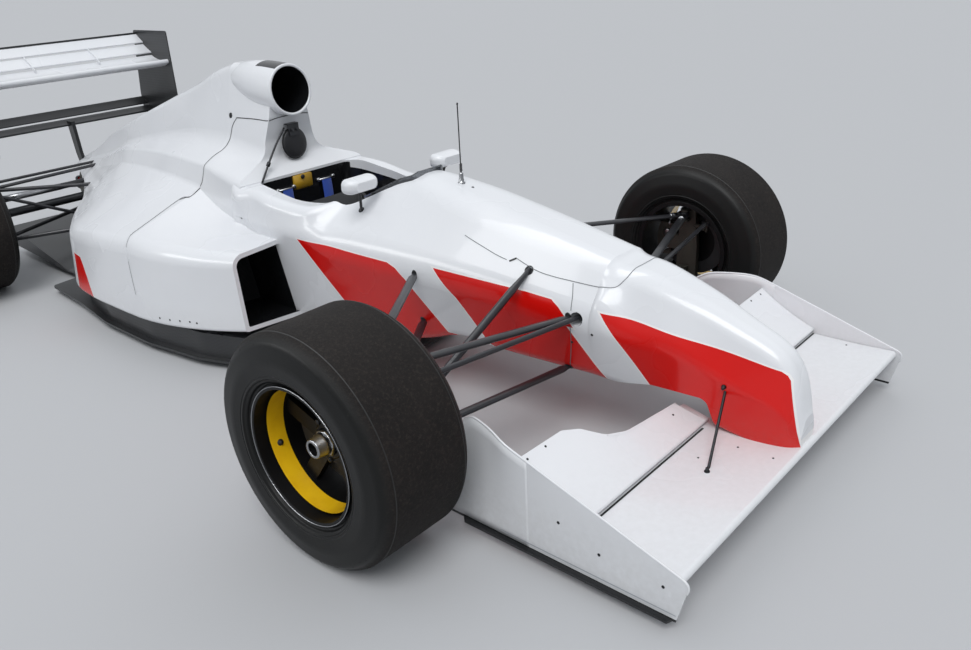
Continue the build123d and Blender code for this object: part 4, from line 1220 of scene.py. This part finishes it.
        shape = bmesh.new()
        rings = []
        for reach, depth in PAD_SECTION:
            centre = on_pad(0, 0, depth)
            spokes = [Vector((PAD_WIDE * reach * math.cos(t), PAD_HIGH * reach * math.sin(t), 0))
                      for t in turns(PAD_SIDES if reach else 1)]
            rings.append([shape.verts.new(centre + tilt @ spoke * MM) for spoke in spokes])
        skin_rings(shape, rings)
        pad = piece("head_pad", shape, "pad_black")
        swell(pad, 5.0, 4)
        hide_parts("headrest")

        shape = bmesh.new()
        edge = [on_pad((PAD_WIDE + 1) * math.cos(t), (PAD_HIGH + 1) * math.sin(t)) for t in turns(PIPING_SIDES)]
        rings = []
        for number, point in enumerate(edge):
            ahead = edge[(number + 1) % PIPING_SIDES] - edge[number - 1]
            outer = (point - middle).normalized()
            rings.append(loop(shape, point, outer, ahead.cross(outer).normalized(), 2.2, 2.2, 8))
        skin_rings(shape, rings + rings[:1])
        piece("head_pad_piping", shape, "pad_black")

        # Forked bracket over the pad
        shape = bmesh.new()
        fork = ((-26, 1290, 812), (26, 1290, 812), (22, 1283, 770), (-22, 1283, 770))
        lid = ((-26, 1290, 812), (26, 1290, 812), (26, 1326, 812), (-26, 1326, 812))
        back = ((-22, 1309, 700), (22, 1309, 700), (22, 1309, 790), (-22, 1309, 790))
        slab(shape, both(fork, 1), AFT * (4 * MM))
        slab(shape, both(lid, 1), UP * (4 * MM))
        for x in (-12, 12):
            lathe(shape, at(x, 1283, 792), Vector((0, -1, 0.15)), [(6, -1), (6, 3), (4, 4), (0, 4)], 12)
        slab(shape, both(back, 1), AFT * (12 * MM))
        piece("head_pad_bracket", shape, "black_tube", smooth=False)

    def dash(self):
        """Instrument panel under the screen, with two round gauges and a row of switches."""
        plated("dash_panel", "carbon",
               [([at(u, DASH_Y, 606 + v) for u, v in rounded(250, 86, 26)], AFT * (-5 * MM))])
        gauges = [(at(x, DASH_Y, 612), size) for x, size in ((-44, 30), (40, 26))]
        turned("gauge_rims", "dark_steel", "rod_steel",
               [(place, AFT, [(size, 0), (size, 7), (size - 4, 8), (size - 5, 3), (size - 6, 3)], 32)
                for place, size in gauges])
        turned("gauge_glass", "smoked_acrylic", "smoked_screen",
               [(place, AFT, [(size - 5, 3), (0, 3)], 32) for place, size in gauges])
        turned("dash_switches", "bright_alloy", "nut_alloy",
               [(at(x, DASH_Y, 592), AFT, [(4, 0), (4, 4), (2, 5), (2, 14), (0, 14)], 10)
                for x in (-96, -84, 80, 92, 104)])


def swell(pad, cap_mm, pressure):
    """Blows a closed piece up as cloth, keeps each point within a cap of its start, and smooths it once."""
    remesh = pad.modifiers.new("even", "REMESH")
    remesh.mode = "VOXEL"
    remesh.voxel_size = 4.5 * MM
    bake(pad)
    start = [v.co.copy() for v in pad.data.vertices]
    cloth = pad.modifiers.new("stuffing", "CLOTH")
    cloth.settings.use_pressure = True
    cloth.settings.uniform_pressure_force = pressure
    cloth.settings.effector_weights.gravity = 0.0
    for number in range(1, 21):
        bpy.context.scene.frame_set(number)
    bake(pad)
    bpy.context.scene.frame_set(1)
    for vert, home in zip(pad.data.vertices, start):
        move = vert.co - home
        if move.length > cap_mm * MM:
            vert.co = home + move.normalized() * (cap_mm * MM)
    pad.modifiers.new("finer", "SUBSURF").levels = 1
    bake(pad)
    for face in pad.data.polygons:
        face.use_smooth = True


def bake(made):
    """Puts what the modifiers make into the mesh, so that none is left."""
    graph = bpy.context.evaluated_depsgraph_get()
    mesh = bpy.data.meshes.new_from_object(made.evaluated_get(graph))
    made.modifiers.clear()
    made.data = mesh


class CAR_OT_tail(bpy.types.Operator):
    """Lamp housing, casing bolts and floor screws"""
    bl_idname = "car.tail"
    bl_label = "Tail"

    def execute(self, context):
        low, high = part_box("rain_light")
        middle = (low + high) / 2
        width, height = (high.x - low.x) / MM, (high.z - low.z) / MM
        shape = bmesh.new()
        rings = []
        for grow, radius, back in ((10, 16, -22), (10, 16, 0), (-8, 10, 1.5)):
            rings.append([shape.verts.new((middle.x + u * MM, high.y + back * MM, middle.z + v * MM))
                          for u, v in rounded(width + grow, height + grow, radius)])
        skin_rings(shape, rings)
        piece("lamp_housing", shape, "rubber_black")

        case = surface_of("gearbox")
        shape = bmesh.new()
        for sign in SIGNS:
            rows = [(200, y, z) for y in (2500, 2580, 2660, 2740) for z in (160, 240, 320, 390)]
            knobs(shape, case, rows, sign, BOLT, 6)
        for y in (2520, 2640, 2760, 2880):
            for x in (-60, 60):
                knob(shape, case, at(x, y, 500), BOLT, 6)
        piece("casing_bolts", shape, "bright_alloy")

        floor = surface_of("floor")
        shape = bmesh.new()
        for sign in SIGNS:
            places = [(x, y, 200) for x, y in ((300, 700), (420, 1080), (560, 1160), (590, 2250), (560, 2450),
                                               (420, 2640))]
            knobs(shape, floor, places, sign, button_head(5, 1.8))
        piece("floor_screws", shape, "dark_steel")
        return {"FINISHED"}


class CAR_PT_panel(bpy.types.Panel):
    """Sizes and colours of the car, and its pieces"""
    bl_label = "Racing car"
    bl_space_type = "VIEW_3D"
    bl_region_type = "UI"
    bl_category = "Racing car"

    def draw(self, context):
        layout = self.layout
        layout.prop(context.scene.car_paint, "weave_mm")
        layout.prop(context.scene.car_wheels, "band_width")
        layout.prop(context.scene.car_stage, "floor_radius")
        layout.prop(context.scene.car_stage, "lens")
        for operator in OPERATORS:
            layout.operator(operator.bl_idname)


NODE_FINISHES = {
    "nose_cone": "paint_nose", "tub": "paint_tub", "windscreen": "smoked_acrylic", "airbox": "paint_airbox",
    "engine_cover": "paint_shell", "sidepod_right": "paint_pod", "sidepod_left": "paint_pod",
    "radiators": "radiator", "floor": "carbon", "engine_block": "cast_alloy", "gearbox": "cast_magnesium",
    "rain_light": "red_lens", "headrest": "pad_black", "seat": "carbon", "belts": "webbing_blue",
    "mirrors": "paint_mirror", "antenna": "rubber_black", "front_mainplane": "paint_plain",
    "front_endplates": "paint_tip", "front_flaps": "paint_plain", "wing_stays": "dark_steel",
    "front_suspension": "black_tube", "rear_mainplane": "paint_plain", "rear_flaps": "paint_plain",
    "beam_wing": "carbon", "rear_endplates": "carbon", "wing_pylon": "carbon",
    "rear_suspension": "black_tube", "rear_uprights": "cast_magnesium", "track_rods": "black_tube",
    "steering_wheel": "suede",
}

OPERATORS = (CAR_OT_stage, CAR_OT_paint, CAR_OT_wheels, CAR_OT_bodywork, CAR_OT_running_gear, CAR_OT_wings,
             CAR_OT_cockpit, CAR_OT_tail)
CLASSES = (PaintSettings, WheelSettings, StageSettings, *OPERATORS, CAR_PT_panel)


def mix_finishes():
    """Makes every finish once, under the name that the pieces ask for."""
    FINISHES.update({
        "stage_floor": stage_floor(),
        "paint_plain": body_paint("polyurethane_white"),
        "paint_nose": body_paint("polyurethane_nose", ("nose", "axle", "axle_foot")),
        "paint_tub": body_paint("polyurethane_tub", ("cockpit", "cockpit_foot", "axle", "axle_foot"),
                                inside_cockpit),
        "paint_airbox": body_paint("polyurethane_airbox", dark=inside_throat),
        "paint_shell": body_paint("polyurethane_cover", ("tail",), inward_faces),
        "paint_pod": body_paint("polyurethane_pod", dark=inward_faces),
        "paint_mirror": body_paint("polyurethane_mirror", dark=stalk),
        "paint_tip": body_paint("polyurethane_end_plate", dark=foot_strip),
        "carbon": carbon("carbon_twill", bpy.context.scene.car_paint.weave_mm),
        "rim_black": metal("painted_magnesium_black", "#070708", "#0E0E10", 0.42, metallic=0.0, gloss=0.22),
        "bright_alloy": metal("machined_aluminium", "#B9BABC", "#8E9093", 0.28),
        "dark_steel": metal("oiled_steel", "#2B2C2E", "#454648", 0.4),
        "black_tube": metal("black_stoved_steel", "#19191B", "#34353A", 0.36, metallic=0.2, coat=0.3),
        "cast_magnesium": metal("dichromated_magnesium", "#3E3C38", "#57544D", 0.55, grain=40.0, metallic=0.7),
        "cast_alloy": metal("cast_aluminium", "#6C6D6E", "#85868A", 0.5, grain=40.0),
        "disc_carbon": metal("carbon_brake_disc", "#2E2F31", "#3F4042", 0.45, grain=30.0, metallic=0.3),
        "knob_red": metal("moulded_red", "#A5160F", "#8C120C", 0.35, metallic=0.0),
        "pad_yellow": metal("moulded_yellow", "#C39A22", "#A98218", 0.45, metallic=0.0),
        "yellow_enamel": bonded_yellow(),
        "smoked_acrylic": smoked_acrylic(),
        "silvered_glass": silvered_glass(),
        "red_lens": red_lens(),
        "radiator": finned_core(),
        "webbing_blue": webbing("harness_webbing_blue", "#1A3FA0", "#3560C8"),
        "pad_black": soft_black("grained_leather_black", grain_mm=2.4, roughness=0.5, sheen=0.1),
        "suede": soft_black("napped_suede_black"),
        "rubber_black": soft_black("moulded_rubber_black", grain_mm=4.0, roughness=0.55, sheen=0.0),
        "seam_grey": soft_black("panel_joint", "#63666A", "#7A7D81", 4.0, 0.5, 0.0),
        # Grey of the painted shade along the end plates' folds
        "fold_shade_grey": soft_black("painted_fold_shade", "#9DA2A8", "#A9AEB4", 4.0, 0.4, 0.0),
        # Black of the real panel joints, also used for the painted shadow in the front wing's slot
        "joint_and_slot_shadow_black": soft_black("joint_seal_and_slot_shadow", "#0E0F10", "#1B1C1D", 4.0, 0.55, 0.0),
        "rubber_plain": soft_black("moulded_tyre_edge", "#141415", "#21211F", 4.0, 0.55, 0.0),
        # Near-black of the painted shade in the tyres' wear holes
        "hole_shade_black": soft_black("tyre_wear_hole_shade", "#060606", "#0B0B0B", 4.0, 0.8, 0.0),
    })
    for axle, axle_y, half_track, radius, width in WHEELS:
        FINISHES[f"rubber_{axle}"] = slick_rubber(f"slick_rubber_{axle}", axle_y, radius)


def register():
    for item in CLASSES:
        bpy.utils.register_class(item)
    bpy.types.Scene.car_paint = bpy.props.PointerProperty(type=PaintSettings)
    bpy.types.Scene.car_wheels = bpy.props.PointerProperty(type=WheelSettings)
    bpy.types.Scene.car_stage = bpy.props.PointerProperty(type=StageSettings)


def unregister():
    del bpy.types.Scene.car_stage
    del bpy.types.Scene.car_wheels
    del bpy.types.Scene.car_paint
    for item in reversed(CLASSES):
        bpy.utils.unregister_class(item)


def main():
    """Makes the whole scene."""
    register()
    mix_finishes()
    bpy.ops.car.stage()
    bpy.ops.car.paint()
    bpy.ops.car.wheels()
    bpy.ops.car.bodywork()
    bpy.ops.car.running_gear()
    bpy.ops.car.wings()
    bpy.ops.car.cockpit()
    bpy.ops.car.tail()


if __name__ == "__main__":
    main()
